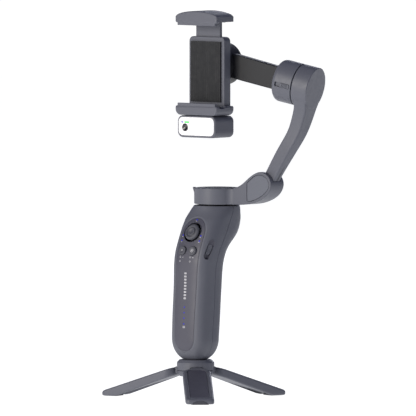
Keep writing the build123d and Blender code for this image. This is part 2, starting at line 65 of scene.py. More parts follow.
def span(node):
    """Lowest and highest corner of a CAD node, in millimetres from the hub axis."""
    return [np.array(corner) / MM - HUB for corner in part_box(node)]


def pivot(joint):
    """Where a joint turns, in millimetres from the hub axis."""
    return np.array(JOINTS[joint]["pos_m"]) / MM - HUB


def unit(vector):
    """The same direction at length one."""
    return np.asarray(vector, float) / np.linalg.norm(vector)


# ---- driving sizes ----
SLOT_OF = {row["node"]: row["material_slot"] for row in frame["record"]["subparts"]}
HANDLE_LOW, HANDLE_TOP = span("handle_back_shell")[0][2], span("handle_back_shell")[1][2]
HANDLE_ROUND, DOME_REACH, DOME_POWER = 51.0, 20.6, 2.2      # where the grip's round bottom starts
HANDLE_ROWS = np.array([                                     # height, half width, front, back
    (51.0, 17.9, -16.0, 15.5), (64.5, 17.9, -15.7, 16.9), (81.0, 17.9, -14.7, 18.2),
    (98.0, 18.0, -13.7, 19.5), (114.0, 18.5, -12.7, 21.4), (121.0, 18.8, -11.2, 24.0),
    (128.0, 19.0, -8.8, 29.5), (134.0, 19.2, -6.3, 36.5), (141.0, 19.3, -3.0, 41.5),
    (147.5, 19.3, 1.1, 43.1), (154.0, 19.4, 5.9, 44.2), (159.5, 19.0, 8.6, 46.6),
])
SEAM_ROWS = np.array([(30.0, 0.0), (48.0, 0.3), (81.0, 3.2), (100.0, 3.8), (120.0, 7.4), (138.0, 17.0),
                      (162.0, 28.0)])                        # the side seam: height, and how far back
SHELL_WALL, PANEL_SUNK, PANEL_WALL = 2.2, 0.5, 1.9
PANEL_LOW, PANEL_HIGH, PANEL_BEND = 39.8, 149.7, 126.0       # ends, and where its sides turn upright
PANEL_NARROW, PANEL_WIDE, ARC_LOW, ARC_HIGH = 10.5, 12.4, 10.0, 12.0
STICK_Z, STICK_HOLE = 138.2, 8.7
BUTTON_Z, BUTTON_X, BUTTON_R = 123.0, 5.5, 3.75
PAN_MIDDLE, PAN_R = pivot("pan_turn"), 19.0
PAN_LOW, PAN_TOP = 160.7, 174.0
YOKE_FRONT, YOKE_BACK, SLOT_FRONT, SLOT_BACK = 22.0, 39.7, 26.0, 35.8
HINGE, KNUCKLE_R, ARM_LEAN, ARM_THICK = pivot("arm_fold"), 8.4, 33.0, 11.6
ARM_STATIONS = np.array([                                    # centre line x, y, z, lean, yaw, width
    (54.8, 30.9, 180.7, 33.0, 0.0, 9.2), (60.2, 30.9, 189.1, 33.0, 0.0, 9.2),
    (68.2, 31.6, 201.4, 33.0, 0.0, 11.0), (76.0, 33.0, 213.4, 31.0, 0.8, 12.1),
    (81.9, 35.2, 225.1, 22.4, 6.0, 14.2), (86.2, 37.0, 239.3, 12.4, 13.5, 20.0),
    (87.5, 37.5, 245.5, 11.7, 14.1, 25.0), (89.0, 37.8, 252.8, 11.7, 14.1, 30.0),
])
DRUM, DRUM_AXIS, DRUM_R = pivot("tilt_turn"), unit(JOINTS["tilt_turn"]["axis"]), 17.6
DRUM_GAP, ARM_SIDE, PHONE_SIDE, DRUM_ROUND = 0.8, 14.2, 18.7, 4.5
LEGS = {"front": 42.7, "rear": 162.7, "left": -77.3}         # degrees from -Y towards +X
HUB_R, HUB_LOW, HUB_SEAM, HUB_TOP = 15.55, 18.5, 23.4, 32.4
LEG_TIP_R, LEG_WIDTH, LEG_SLOPE, LEG_TIP_HIGH = 82.8, 23.5, np.tan(np.radians(18.2)), 4.2
JAW_HALF, JAW_FRONT, JAW_BACK = 22.5, 0.2, 23.0
GAP_LOW, GAP_HIGH, LIP_THICK, LIP_HIGH, REST_Y = 241.7, 312.8, 3.4, 3.3, 12.2
FRONT = ((0, 0, 0), (1, 0, 0), (0, -1, 0))                   # draws x and z, with heights towards the user


# ---- curves and outlines ----

def spline(knots, values, at):
    """Natural cubic spline: a cubic on each span, with slope and bend carried over at every knot.

    The bends solve one linear system: each inner knot's change of slope equals the bends round it,
    weighted by span length, and both end bends are zero.
    """
    gaps, count = np.diff(knots), len(knots)
    slopes = np.diff(values, axis=0) / gaps[:, None]
    system, right, inner = np.eye(count), np.zeros_like(values, dtype=float), np.arange(1, count - 1)
    system[inner, inner - 1], system[inner, inner + 1] = gaps[:-1], gaps[1:]
    system[inner, inner] = 2 * (gaps[:-1] + gaps[1:])
    right[1:-1] = 6 * np.diff(slopes, axis=0)
    bends = np.linalg.solve(system, right)
    i = np.clip(np.searchsorted(knots, at, side="right") - 1, 0, count - 2)
    t, gap = (at - knots[i])[:, None], gaps[i][:, None]
    slope = slopes[i] - gap * (2 * bends[i] + bends[i + 1]) / 6
    return values[i] + t * (slope + t * (bends[i] / 2 + t * (bends[i + 1] - bends[i]) / (6 * gap)))


def flowing(points, count):
    """A smooth line through points: a spline over their chord length, cut into even steps."""
    points = np.asarray(points, float)
    reach = np.concatenate([[0], np.cumsum(np.linalg.norm(np.diff(points, axis=0), axis=1))])
    return spline(reach, points, np.linspace(0, reach[-1], count))


def straight(start, end, count):
    """Evenly spaced points from start up to, but not at, end."""
    t = np.linspace(0, 1, count, endpoint=False)[:, None]
    return np.asarray(start) * (1 - t) + np.asarray(end) * t


def circle(radius, count=64, middle=(0, 0)):
    """A circle, counter-clockwise."""
    turn = np.linspace(0, 2 * np.pi, count, endpoint=False)
    return radius * np.stack([np.cos(turn), np.sin(turn)], axis=1) + middle


def rounded(width, height, radius, corner=8, side=6, middle=(0, 0)):
    """A rectangle with quarter circles at its corners, joined by straight sides in equal steps.

    radius is one number, or four for the corners from the upper right, counter-clockwise.
    """
    turns = np.radians(np.arange(4)[:, None] * 90 + np.linspace(0, 90, corner))
    signs = np.array([(1, 1), (-1, 1), (-1, -1), (1, -1)])
    radius = np.broadcast_to(np.asarray(radius, float), 4)[:, None]
    centres = signs * (np.array([width, height]) / 2 - radius)
    arcs = centres[:, None] + radius[:, None] * np.stack([np.cos(turns), np.sin(turns)], axis=2)
    steps = np.linspace(0, 1, side + 2)[1:-1, None]
    sides = arcs[:, -1:] * (1 - steps) + np.roll(arcs, -1, axis=0)[:, :1] * steps
    return np.concatenate([arcs, sides], axis=1).reshape(-1, 2) + middle


def shrunk(outline, inset):
    """The outline moved inwards by inset, each point along the normal of its two neighbours."""
    run = np.roll(outline, -1, axis=0) - np.roll(outline, 1, axis=0)
    inward = np.stack([-run[:, 1], run[:, 0]], axis=1)
    return outline + inset * inward / np.maximum(np.linalg.norm(inward, axis=1, keepdims=True), 1e-9)


def rolled(low, high, low_radius, high_radius, steps=5):
    """A slab's side as (inset, height) stations: a quarter circle at each edge, straight between."""
    turn = np.radians(np.linspace(0, 90, steps))
    below = np.stack([low_radius * (1 - np.sin(turn)), low + low_radius * (1 - np.cos(turn))], axis=1)
    above = np.stack([high_radius * (1 - np.cos(turn)), high - high_radius * (1 - np.sin(turn))], axis=1)
    return np.concatenate([below, above])


def arc(start, end, turn_from, turn_to, steps=6):
    """(radius, height) points of a quarter ellipse from start to end, for a turned profile."""
    turn = np.radians(np.linspace(turn_from, turn_to, steps))
    (ra, ha), (rb, hb) = start, end
    share_r = (np.cos(turn) - np.cos(turn[0])) / (np.cos(turn[-1]) - np.cos(turn[0]))
    share_h = (np.sin(turn) - np.sin(turn[0])) / (np.sin(turn[-1]) - np.sin(turn[0]))
    return np.stack([ra + (rb - ra) * share_r, ha + (hb - ha) * share_h], axis=1)


# ---- surfaces ----

def put(points, place):
    """Points drawn as (across, up, out) at a place: its origin, its across and its out direction."""
    origin, across, out = (np.asarray(part, float) for part in place)
    out = unit(out)
    across = unit(across - out * (across @ out))
    return points @ np.array([across, np.cross(out, across), out]) + origin


def skin(rings, closed=False, caps=True):
    """Quads between each ring of points and the next, as (points, faces).

    closed joins the last ring to the first. caps fills the first and last ring.
    """
    rows, columns = rings.shape[:2]
    index = np.arange(rows * columns).reshape(rows, columns)
    if closed:
        index = np.vstack([index, index[:1]])
    right = np.roll(index, -1, axis=1)
    faces = np.stack([index[:-1], right[:-1], right[1:], index[1:]], axis=2).reshape(-1, 4).tolist()
    if caps and not closed:
        faces += [index[0, ::-1].tolist(), index[-1].tolist()]
    return rings.reshape(-1, 3), faces


def plate(outline, stations, place=FRONT):
    """A slab: the outline drawn in by each station's inset, at that station's height, then capped."""
    area = np.sum(outline[:, 0] * np.roll(outline[:, 1], -1) - outline[:, 1] * np.roll(outline[:, 0], -1))
    outline = outline if area > 0 else outline[::-1]
    rings = [np.column_stack([shrunk(outline, inset), np.full(len(outline), height)])
             for inset, height in stations]
    return skin(np.stack([put(ring, place) for ring in rings]))


def band(outline, profile, place=FRONT):
    """A closed ring that follows an outline: profile is a loop of (inset, height) round its section."""
    rings = [np.column_stack([shrunk(outline, inset), np.full(len(outline), height)])
             for inset, height in profile]
    return skin(np.stack([put(ring, place) for ring in rings]), closed=True)


def turned(profile, place, count=96, closed=False):
    """A profile of (radius, height) turned about the place's out axis. Radius 0 closes it."""
    profile = np.asarray(profile, float)
    turn = np.linspace(0, 2 * np.pi, count, endpoint=False)
    radius, height = profile[:, :1], profile[:, 1:]
    rings = np.stack([radius * np.cos(turn), radius * np.sin(turn), height + 0 * turn], axis=2)
    return skin(put(rings, place), closed=closed, caps=False)


def mesh_of(part):
    """A clean mesh of one closed part: doubles merged, empty faces gone, faces outwards."""
    mesh = bpy.data.meshes.new("part")
    mesh.from_pydata(((part[0] + HUB) * MM).tolist(), [], part[1])
    shape = bmesh.new()
    shape.from_mesh(mesh)
    bmesh.ops.remove_doubles(shape, verts=shape.verts, dist=2e-6)
    bmesh.ops.dissolve_degenerate(shape, edges=shape.edges, dist=1e-6)
    bmesh.ops.recalc_face_normals(shape, faces=shape.faces)
    shape.to_mesh(mesh)
    shape.free()
    return mesh


def carved(part, *cutters):
    """A closed part with the cutters taken out of it, as (points, faces) of plain triangles."""
    solids = [bpy.data.objects.new("solid", mesh_of(item)) for item in (part, *cutters)]
    for solid in solids:
        bpy.context.scene.collection.objects.link(solid)
    for cutter in solids[1:]:
        change = solids[0].modifiers.new("carve", "BOOLEAN")
        change.object, change.operation, change.solver = cutter, "DIFFERENCE", "EXACT"
    result = bpy.data.meshes.new_from_object(
        solids[0].evaluated_get(bpy.context.evaluated_depsgraph_get()))
    points = np.empty(len(result.vertices) * 3)
    result.vertices.foreach_get("co", points)
    result.calc_loop_triangles()
    corners = np.empty(len(result.loop_triangles) * 3, dtype=np.int32)
    result.loop_triangles.foreach_get("vertices", corners)
    faces = corners.reshape(-1, 3).tolist()
    for solid in solids:
        bpy.data.meshes.remove(solid.data)
    bpy.data.meshes.remove(result)
    return points.reshape(-1, 3) / MM - HUB, faces


def build(name, parts, body, material, nodes=(), sharp=34.0):
    """Makes one piece of closed parts: it rides on its body and stands for the nodes it hides."""
    whole = bmesh.new()
    for part in parts:
        mesh = mesh_of(part)
        whole.from_mesh(mesh)
        bpy.data.meshes.remove(mesh)
    mesh = bpy.data.meshes.new(name)
    whole.to_mesh(mesh)
    whole.free()
    mesh.polygons.foreach_set("use_smooth", np.ones(len(mesh.polygons), bool))
    mesh.set_sharp_from_angle(angle=np.radians(sharp))
    mesh.materials.append(finish(material))
    piece = bpy.data.objects.new(name, mesh)
    bpy.context.scene.collection.objects.link(piece)
    even = piece.modifiers.new("flat faces stay flat", "WEIGHTED_NORMAL")
    even.keep_sharp = True
    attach(piece, body)
    if nodes:
        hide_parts(*nodes)
    return piece


# ---- finishes ----

def linear(hex_colour):
    """sRGB hex to linear RGBA."""
    value = np.array([int(hex_colour[i:i + 2], 16) for i in (1, 3, 5)]) / 255
    value = np.where(value <= 0.04045, value / 12.92, ((value + 0.055) / 1.055) ** 2.4)
    return (*value.tolist(), 1.0)


def add(tree, kind, inputs=(), **settings):
    """Adds a node with its settings; inputs gives sockets a value, or the socket that feeds them."""
    node = tree.nodes.new("ShaderNode" + kind)
    for key, value in settings.items():
        setattr(node, key, value)
    for key, value in dict(inputs).items():
        if isinstance(value, bpy.types.NodeSocket):
            tree.links.new(value, node.inputs[key])
        else:
            node.inputs[key].default_value = value
    return node


def surface(name, colour, shade, rough, grain_mm, relief_mm, **shader):
    """A material of three patterns on Object coordinates.

    A broad cloud, 24 mm across, turns colour into shade. A cloud of 5 mm spreads the roughness over
    its two limits. The grain of its own size in millimetres gives the relief.
    """
    material = bpy.data.materials.new(name)
    material.use_nodes = True
    tree = material.node_tree
    tree.nodes.clear()
    at = add(tree, "TexCoord").outputs["Object"]
    broad = add(tree, "TexNoise", {"Vector": at, "Scale": 1 / (24 * MM), "Detail": 3.0})
    cloud = add(tree, "TexNoise", {"Vector": at, "Scale": 1 / (5 * MM), "Detail": 4.0})
    grain = add(tree, "TexNoise", {"Vector": at, "Scale": 1 / (grain_mm * MM), "Detail": 2.0,
                                   "Roughness": 0.6})
    tint = add(tree, "Mix", {0: broad.outputs["Fac"], 6: linear(colour), 7: linear(shade)},
               data_type="RGBA")
    gloss = add(tree, "MapRange", {"Value": cloud.outputs["Fac"], "From Min": 0.3, "From Max": 0.7,
                                   "To Min": rough[0], "To Max": rough[1]})
    relief = add(tree, "Bump", {"Height": grain.outputs["Fac"], "Strength": 1.0,
                                "Distance": relief_mm * MM})
    shade_node = add(tree, "BsdfPrincipled", {
        "Base Color": tint.outputs[2], "Roughness": gloss.outputs["Result"],
        "Normal": relief.outputs["Normal"], **{key.replace("_", " "): v for key, v in shader.items()}})
    add(tree, "OutputMaterial", {"Surface": shade_node.outputs["BSDF"]})
    return material


def satin_abs():
    """Spark-eroded ABS: a satin slate grey whose fine grain breaks up every highlight."""
    return surface("spark-eroded ABS, slate grey", "#5f616b", "#5c5e68", (0.42, 0.52), 0.55, 0.006,
                   IOR=1.53, Specular_IOR_Level=0.35)


def matt_panel():
    """Fine matt ABS of the control panel: a little more violet and flatter than the shell."""
    return surface("fine matt ABS, violet grey", "#4b4b57", "#484854", (0.46, 0.54), 0.45, 0.004,
                   IOR=1.53)


def cover_abs():
    """Smooth-moulded ABS cover plate: a lighter, cooler grey with a soft even sheen."""
    return surface("smooth ABS cover, cool grey", "#62656f", "#5f626d", (0.36, 0.44), 0.5, 0.003,
                   IOR=1.53)


def dark_nylon():
    """Glass-filled nylon: near-black, dry, with a visibly coarser grain than the ABS."""
    return surface("glass-filled nylon, black", "#1c1d22", "#18191d", (0.42, 0.56), 0.7, 0.012,
                   IOR=1.53)


def stick_rubber():
    """Soft-touch paint on the thumb stick: a dark grey that hardly shines."""
    return surface("soft-touch coating, graphite", "#4d4e57", "#474850", (0.48, 0.60), 0.4, 0.006,
                   IOR=1.5, Sheen_Weight=0.05)


def moulded_rubber():
    """Moulded silicone rubber: matt black with a pebbled grip."""
    return surface("moulded silicone rubber, black", "#232428", "#1c1d20", (0.62, 0.78), 0.9, 0.03,
                   IOR=1.43)


def foot_rubber():
    """Moulded rubber of the feet: slate, a little darker and much duller than the legs."""
    return surface("moulded rubber, slate", "#43444d", "#3e3f47", (0.6, 0.75), 0.8, 0.02, IOR=1.43)


def turned_steel():
    """Turned steel: bright, with fine tool marks in its shine."""
    return surface("turned stainless steel", "#b9b7b2", "#aeaca8", (0.22, 0.36), 0.35, 0.006,
                   Metallic=1.0)


def nickel_plate():
    """Nickel plating: warm bright metal, nearly smooth."""
    return surface("nickel plating", "#c4bcae", "#b8b0a3", (0.14, 0.24), 0.8, 0.003, Metallic=1.0)


def stamped_iron():
    """Stamped electrical steel: blue-grey laminations with a dull shine."""
    return surface("stamped electrical steel", "#6e747c", "#5c626a", (0.35, 0.5), 0.35, 0.02,
                   Metallic=1.0)


def brass():
    """Machined brass: yellow metal with fine tool marks."""
    return surface("machined brass", "#c9a254", "#b48d45", (0.2, 0.34), 0.4, 0.006, Metallic=1.0)


def shrink_film():
    """PVC shrink sleeve of the cell: smooth, glossy and blue."""
    return surface("PVC shrink sleeve, blue", "#2c5f9e", "#285690", (0.16, 0.26), 2.5, 0.01, IOR=1.53)


def solder_mask():
    """Solder mask over glass epoxy: deep green with the weave just showing."""
    return surface("solder mask on glass epoxy", "#1f5a35", "#184a2b", (0.24, 0.4), 0.6, 0.01, IOR=1.55)


def white_acrylic():
    """Gloss-moulded acrylic over white: a clean bright face with a clear coat."""
    return surface("gloss acrylic, white", "#fbfbfd", "#f7f7fa", (0.12, 0.2), 2.0, 0.001, IOR=1.49,
                   Coat_Weight=0.5, Coat_Roughness=0.05)


def lens_glass():
    """Coated lens glass over a black barrel: deep black with a hard clear gloss."""
    return surface("coated lens glass, black", "#08090c", "#0b0c12", (0.04, 0.08), 3.0, 0.0005, IOR=1.6,
                   Coat_Weight=1.0, Coat_Roughness=0.02)


def lamp_blue():
    """Lit blue status light behind a clear window."""
    return surface("lit light pipe, blue", "#0c0c90", "#1010a0", (0.3, 0.4), 0.6, 0.002, IOR=1.49,
                   Emission_Color=linear("#1414c8"), Emission_Strength=0.45)


def lamp_green():
    """Lit green status light behind a clear window."""
    return surface("lit light pipe, green", "#17d83c", "#1fe648", (0.2, 0.3), 0.6, 0.002, IOR=1.49,
                   Emission_Color=linear("#19e040"), Emission_Strength=0.8)


def pad_ink():
    """Pad-printed ink: an off-white film, a touch glossier than the plastic under it."""
    return surface("pad-printed ink, off-white", "#b9b9be", "#b0b0b5", (0.34, 0.46), 0.4, 0.002, IOR=1.5)


def backdrop_paper():
    """Seamless backdrop paper: even, pale and matt."""
    return surface("seamless paper, white", "#8e8e8e", "#8c8c8c", (0.9, 0.97), 0.6, 0.02,
                   Emission_Color=(1.0, 1.0, 1.0, 1.0), Emission_Strength=0.98)


FINISHES = {
    "shell_plastic": satin_abs, "panel_plastic": matt_panel, "cover_plastic": cover_abs,
    "dark_plastic": dark_nylon, "grip_rubber": moulded_rubber, "plain_steel": turned_steel,
    "nickel_magnet": nickel_plate, "stator_iron": stamped_iron, "insert_brass": brass,
    "cell_sleeve": shrink_film, "board_green": solder_mask, "white_plastic": white_acrylic,
    "lens_black": lens_glass, "light_blue": lamp_blue, "light_green": lamp_green,
    "stick_rubber": stick_rubber, "foot_rubber": foot_rubber, "ink": pad_ink, "paper": backdrop_paper,
}
MADE = {}


def finish(key):
    """The finish of that key, made once."""
    if key not in MADE:
        MADE[key] = FINISHES[key]()
    return MADE[key]


# ---- the handle's form ----

def handle_point(turn, z, inset):
    """A point on the handle: at angle turn from the front, height z, and inset below the surface.

    Each height is a superellipse, |x/a| to the power p plus |y/b| to the power p equal to 1, so its
    radius at an angle is (|sin/a|^p + |cos/b|^p)^(-1/p). p falls from 3.4 along the grip to 2 at the
    motor. Below the grip, a and b shrink by a superellipse of their own to make the round bottom.
    """
    turn, z, inset = np.broadcast_arrays(np.asarray(turn, float), z, inset)
    rows = spline(HANDLE_ROWS[:, 0], HANDLE_ROWS[:, 1:], np.clip(z, HANDLE_ROUND, HANDLE_TOP).ravel())
    half, front, back = rows.T.reshape(3, *z.shape)
    drop = np.clip((HANDLE_ROUND - z) / DOME_REACH, 0, 0.999)
    scale = (1 - drop ** DOME_POWER) ** (1 / DOME_POWER)
    a, b = half * scale - inset, (back - front) / 2 * scale - inset
    power = 3.4 - 1.4 * np.clip((z - 149) / (HANDLE_TOP - 149), 0, 1)
    radius = (np.abs(np.sin(turn) / a) ** power + np.abs(np.cos(turn) / b) ** power) ** (-1 / power)
    return np.stack([radius * np.sin(turn), (front + back) / 2 - radius * np.cos(turn), z], axis=-1)


def turn_at(x, z):
    """The angle from the front at which the handle's front half has that x, found by bisection."""
    low, high = np.zeros_like(x), np.full_like(x, np.pi / 2)
    for _ in range(40):
        middle = (low + high) / 2
        short = handle_point(middle, z, 0.0)[..., 0] < np.abs(x)
        low, high = np.where(short, middle, low), np.where(short, high, middle)
    return np.sign(x) * (low + high) / 2


def seam_turn(z):
    """The angle from the front at which the surface reaches the side seam, found by bisection."""
    seam = spline(SEAM_ROWS[:, 0], SEAM_ROWS[:, 1:], z)[:, 0]
    low, high = np.zeros_like(z), np.full_like(z, np.pi)
    for _ in range(40):
        middle = (low + high) / 2
        short = handle_point(middle, z, 0.0)[..., 1] < seam
        low, high = np.where(short, middle, low), np.where(short, high, middle)
    return (low + high) / 2


ENDS, SIDES = 30, 72      # steps along each round end and each side of the panel's outline


def panel_outline(grow):
    """The panel's outline as (x, z): a round bottom, two leaning sides that turn upright, a round top.

    Each round end is the arc through its two corners and its tip: radius = (half^2 + rise^2) / 2 rise.
    """
    ends = []
    for half, rise, tip, up in ((PANEL_NARROW + grow, ARC_LOW, PANEL_LOW - grow, 1),
                                (PANEL_WIDE + grow, ARC_HIGH, PANEL_HIGH + grow, -1)):
        radius = (half ** 2 + rise ** 2) / (2 * rise)
        reach = np.arctan2(half, radius - rise)
        turn = np.linspace(-reach, reach, ENDS, endpoint=False) * up
        ends.append(np.stack([radius * np.sin(turn), tip + up * radius * (1 - np.cos(turn))], axis=1))
    z = np.linspace(PANEL_LOW - grow + ARC_LOW, PANEL_HIGH + grow - ARC_HIGH, SIDES, endpoint=False)
    x = np.interp(z, (PANEL_LOW - grow + ARC_LOW, PANEL_BEND), (PANEL_NARROW + grow, PANEL_WIDE + grow))
    right = np.stack([x, z], axis=1)
    z_down = z[0] + (PANEL_HIGH + grow - ARC_HIGH) - z
    left = np.stack([-np.interp(z_down, z, x, right=x[-1]), z_down], axis=1)
    return np.concatenate([ends[0], right, ends[1], left])


def face_place(x, z, lift=0.0):
    """A place on the panel: its origin there, and its out direction along the surface's normal."""
    step = 0.4
    xs, zs = np.array([x, x + step, x - step, x, x]), np.array([z, z, z, z + step, z - step])
    points = handle_point(turn_at(xs, zs), zs, PANEL_SUNK)
    normal = unit(np.cross(points[1] - points[2], points[3] - points[4]))
    return points[0] + normal * lift, (1, 0, 0), normal


def zoom_place(lift=0.0):
    """The zoom slot's place on the handle's right front corner; its across direction runs up the slot."""
    x, y = ZOOM_OUT
    lean = np.radians(ZOOM_LEAN)
    out = unit((x, y, 0))
    return np.array(ZOOM_AT) + out * lift, (-y * np.sin(lean), x * np.sin(lean), np.cos(lean)), out


ZOOM_AT, ZOOM_OUT, ZOOM_LONG, ZOOM_WIDE, ZOOM_LEAN = (16.4, -2.6, 124.2), (0.90, -0.435), 16.6, 4.6, 26.0


def slab_between(outline, low, high, place):
    """A straight-sided slab, used to cut an opening."""
    return plate(outline, ((0, low), (0, high)), place)


# ---- operators ----

class Piece:
    """What every operator of this add-on shares."""
    bl_options = {"REGISTER", "UNDO"}

    def execute(self, context):
        self.make(context.scene.gimbal_sizes)
        return {"FINISHED"}


class GIMBAL_OT_handle_shells(Piece, bpy.types.Operator):
    """Front and back shell of the grip, with the panel's opening, the zoom slot and the charging port"""
    bl_idname = "gimbal.handle_shells"
    bl_label = "Handle Shells"

    def make(self, sizes):
        """The front shell is one closed grid. Its rings run from the side seam in to the panel's
        opening along the inside, and back out to the seam along the outside."""
        seam_z = np.linspace(HANDLE_LOW, HANDLE_TOP, SIDES, endpoint=False)
        up = np.stack([seam_turn(seam_z), seam_z], axis=1)
        z_down = HANDLE_LOW + HANDLE_TOP - seam_z
        down = np.stack([-seam_turn(z_down), z_down], axis=1)
        low = straight((down[-1][0] * 0 - up[0][0], HANDLE_LOW), up[0], ENDS)
        high = straight((seam_turn(np.array([HANDLE_TOP]))[0], HANDLE_TOP), down[0], ENDS)
        border = np.concatenate([low, up, high, down])

        def ring(share, inset, grow=0.0):
            x, z = panel_outline(PANEL_GAP + grow).T
            hole = np.stack([turn_at(x, z), z], axis=1)
            at = hole * (1 - share) + border * share
            return handle_point(at[:, 0], at[:, 1], inset)

        edge = sizes.edge_round
        inside = [ring(share, SHELL_WALL) for share in np.linspace(1, 0, 9)]
        mouth = [ring(0, 1.6), ring(0, 0.8), ring(0, PANEL_SUNK, 0.03), ring(0, 0.08, 1.05),
                 ring(0, 0.0, 1.3)]
        outside = [ring(share, 0.0) for share in np.linspace(0.14, 0.965, 38)]
        lip = [ring(0.985, edge * 0.12), ring(0.996, edge * 0.5), ring(1, edge)]
        front = skin(np.stack(inside + mouth + outside + lip), closed=True)

        z = np.concatenate([np.linspace(HANDLE_LOW, HANDLE_TOP - 1.2, 76),
                            HANDLE_TOP - np.array([0.7, 0.25, 0.0])])[:, None]
        start = seam_turn(z[:, 0])[:, None]
        share = np.concatenate([[0, 0.002, 0.008], np.linspace(0.02, 0.98, 60), [0.992, 0.998, 1]])[None]
        turn = start + (2 * np.pi - 2 * start) * share
        side = np.interp(np.minimum(share, 1 - share), (0, 0.002, 0.008), (edge, edge * 0.4, 0))
        top = np.interp(HANDLE_TOP - z, (0, 0.25, 0.7), (edge, edge * 0.4, 0))
        outer = handle_point(turn, z, np.maximum(side, top))
        inner = handle_point(turn[:, ::-1], z, SHELL_WALL)
        back = skin(np.concatenate([outer, inner], axis=1))

        slot = slab_between(rounded(ZOOM_LONG + 0.8, ZOOM_WIDE + 0.8, (ZOOM_WIDE + 0.8) / 2, 12),
                            -6, 4, zoom_place())
        low, high = span("usb_port")
        middle = (low + high) / 2
        port = slab_between(rounded(high[1] - low[1], high[2] - low[2], 1.5, 8), -4, 4,
                            ((-17.6, middle[1], middle[2]), (0, -1, 0), (-1, 0, 0)))
        build("grip_front_shell", [carved(front, slot, port)], "handle", "shell_plastic",
              ["handle_front_shell"])
        build("grip_back_shell", [carved(back, port)], "handle", "shell_plastic", ["handle_back_shell"])


PANEL_GAP = 0.04


class GIMBAL_OT_control_panel(Piece, bpy.types.Operator):
    """Control panel let into the front shell, with rolled edges and openings for stick and buttons"""
    bl_idname = "gimbal.control_panel"
    bl_label = "Control Panel"

    def make(self, sizes):
        """Rings shrink from the panel's outline to a line up its middle, on the handle's own surface,
        first along the outside and then, a wall's thickness lower, along the inside."""
        outline = panel_outline(-PANEL_GAP)
        spine = np.stack([0 * outline[:, 0], np.clip(outline[:, 1], PANEL_LOW + 10.5, PANEL_HIGH - 12.4)],
                         axis=1)

        def ring(share, inset):
            x, z = (spine * (1 - share) + outline * share).T
            return handle_point(turn_at(x, z), z, inset)

        outside = [ring(share, PANEL_SUNK) for share in np.linspace(0, 0.965, 26)]
        lip = [ring(0.985, PANEL_SUNK + 0.03), ring(0.996, PANEL_SUNK + 0.07), ring(1, PANEL_SUNK + 0.15)]
        inside = [ring(1, PANEL_WALL), ring(0, PANEL_WALL)]
        sheet = skin(np.stack(outside + lip + inside), caps=False)
        holes = [slab_between(circle(BUTTON_R + 0.25, 48), -6, 4, face_place(x, BUTTON_Z))
                 for x in (-BUTTON_X, BUTTON_X)]
        holes.append(slab_between(circle(STICK_HOLE, 72), -6, 4, face_place(0, STICK_Z)))
        parts = [carved(sheet, *holes)]
        collar = [(0.0, -1.2), (0.0, -0.05), (-0.08, 0.04), (-0.24, 0.04), (-0.32, -0.08), (-0.32, -1.2)]
        for x in (-BUTTON_X, BUTTON_X):
            parts.append(band(circle(BUTTON_R + 0.2, 64), collar, face_place(x, BUTTON_Z)))
        parts.append(band(circle(STICK_HOLE - 0.05, 96), collar, face_place(0, STICK_Z)))
        build("let_in_control_panel", parts, "handle", "panel_plastic", ["control_panel"])


class GIMBAL_OT_controls(Piece, bpy.types.Operator):
    """Thumb stick, two round buttons, zoom slider and its bezel"""
    bl_idname = "gimbal.controls"
    bl_label = "Stick, Buttons and Zoom"

    def make(self, sizes):
        """Stick and buttons are turned profiles; the bezel is a band round a slot outline."""
        cap = [(0, 1.55), (1.0, 1.6), (1.9, 1.82), (2.6, 2.15), (3.0, 2.2), (3.3, 2.05), (3.5, 1.6),
               (3.7, 1.3), (4.1, 1.2), (4.6, 1.6), (5.1, 1.95), (5.6, 1.9), (6.2, 1.65), (6.7, 1.25),
               (7.0, 0.7), (7.05, 0.1), (6.9, -0.6), (6.2, -1.4), (2.6, -1.9), (1.2, -2.4), (1.2, -5.6),
               (0, -5.6)]
        build("thumb_stick", [turned(cap, face_place(0, STICK_Z))], "stick_cap", "stick_rubber",
              ["joystick_cap"])
        top = 1.0 + PANEL_SUNK
        profile = [(0, top - 0.22), (1.4, top - 0.18), (2.4, top - 0.06), *arc((2.9, top), (BUTTON_R, top - 0.75),
                   90, 0), (BUTTON_R, -2.2), (0, -2.2)]
        for name, x in (("mode_button", -BUTTON_X), ("record_button", BUTTON_X)):
            build(f"{name}_cap", [turned(profile, face_place(x, BUTTON_Z))], name, "stick_rubber", [name])
        for name, x in (("mode_button", -BUTTON_X), ("record_button", BUTTON_X)):
            place = face_place(x, BUTTON_Z, top - 0.24)
            dot = turned([(0, 0.06), (0.55, 0.06), (0.62, 0.0), (0, 0.0)], place, 24)
            ring = band(circle(1.45, 40), ((0, 0), (0, 0.09), (0.3, 0.08), (0.3, 0)), place)
            marks = [dot, ring] if x > 0 else [dot]
            build(f"{name}_mark", marks, name, "ink")

        slot = rounded(ZOOM_LONG, ZOOM_WIDE, ZOOM_WIDE / 2, 14)
        bezel = [(-0.42, -1.8), (-0.42, 0.12), (-0.3, 0.24), (0.0, 0.1), (0.12, -0.1), (0.12, -1.8)]
        build("zoom_slot_bezel", [band(slot, bezel, zoom_place()),
                                  plate(shrunk(slot, 0.1), ((0, -1.8), (0, -0.35)), zoom_place())],
              "handle", "panel_plastic", ["zoom_bezel"])
        cap = [plate(rounded(9.0, 4.0, 2.0, 12), rolled(-0.3, 0.7, 0.1, 0.4), zoom_place())]
        for x in (-2.4, -1.2, 0, 1.2, 2.4):
            origin, across, out = zoom_place()
            cap.append(plate(rounded(0.55, 3.0, 0.25, 4), rolled(0.5, 1.15, 0.05, 0.2, 3),
                             (origin + unit(across) * x, across, out)))
        build("zoom_slider_cap", cap, "zoom_slider", "shell_plastic", ["zoom_slider"])


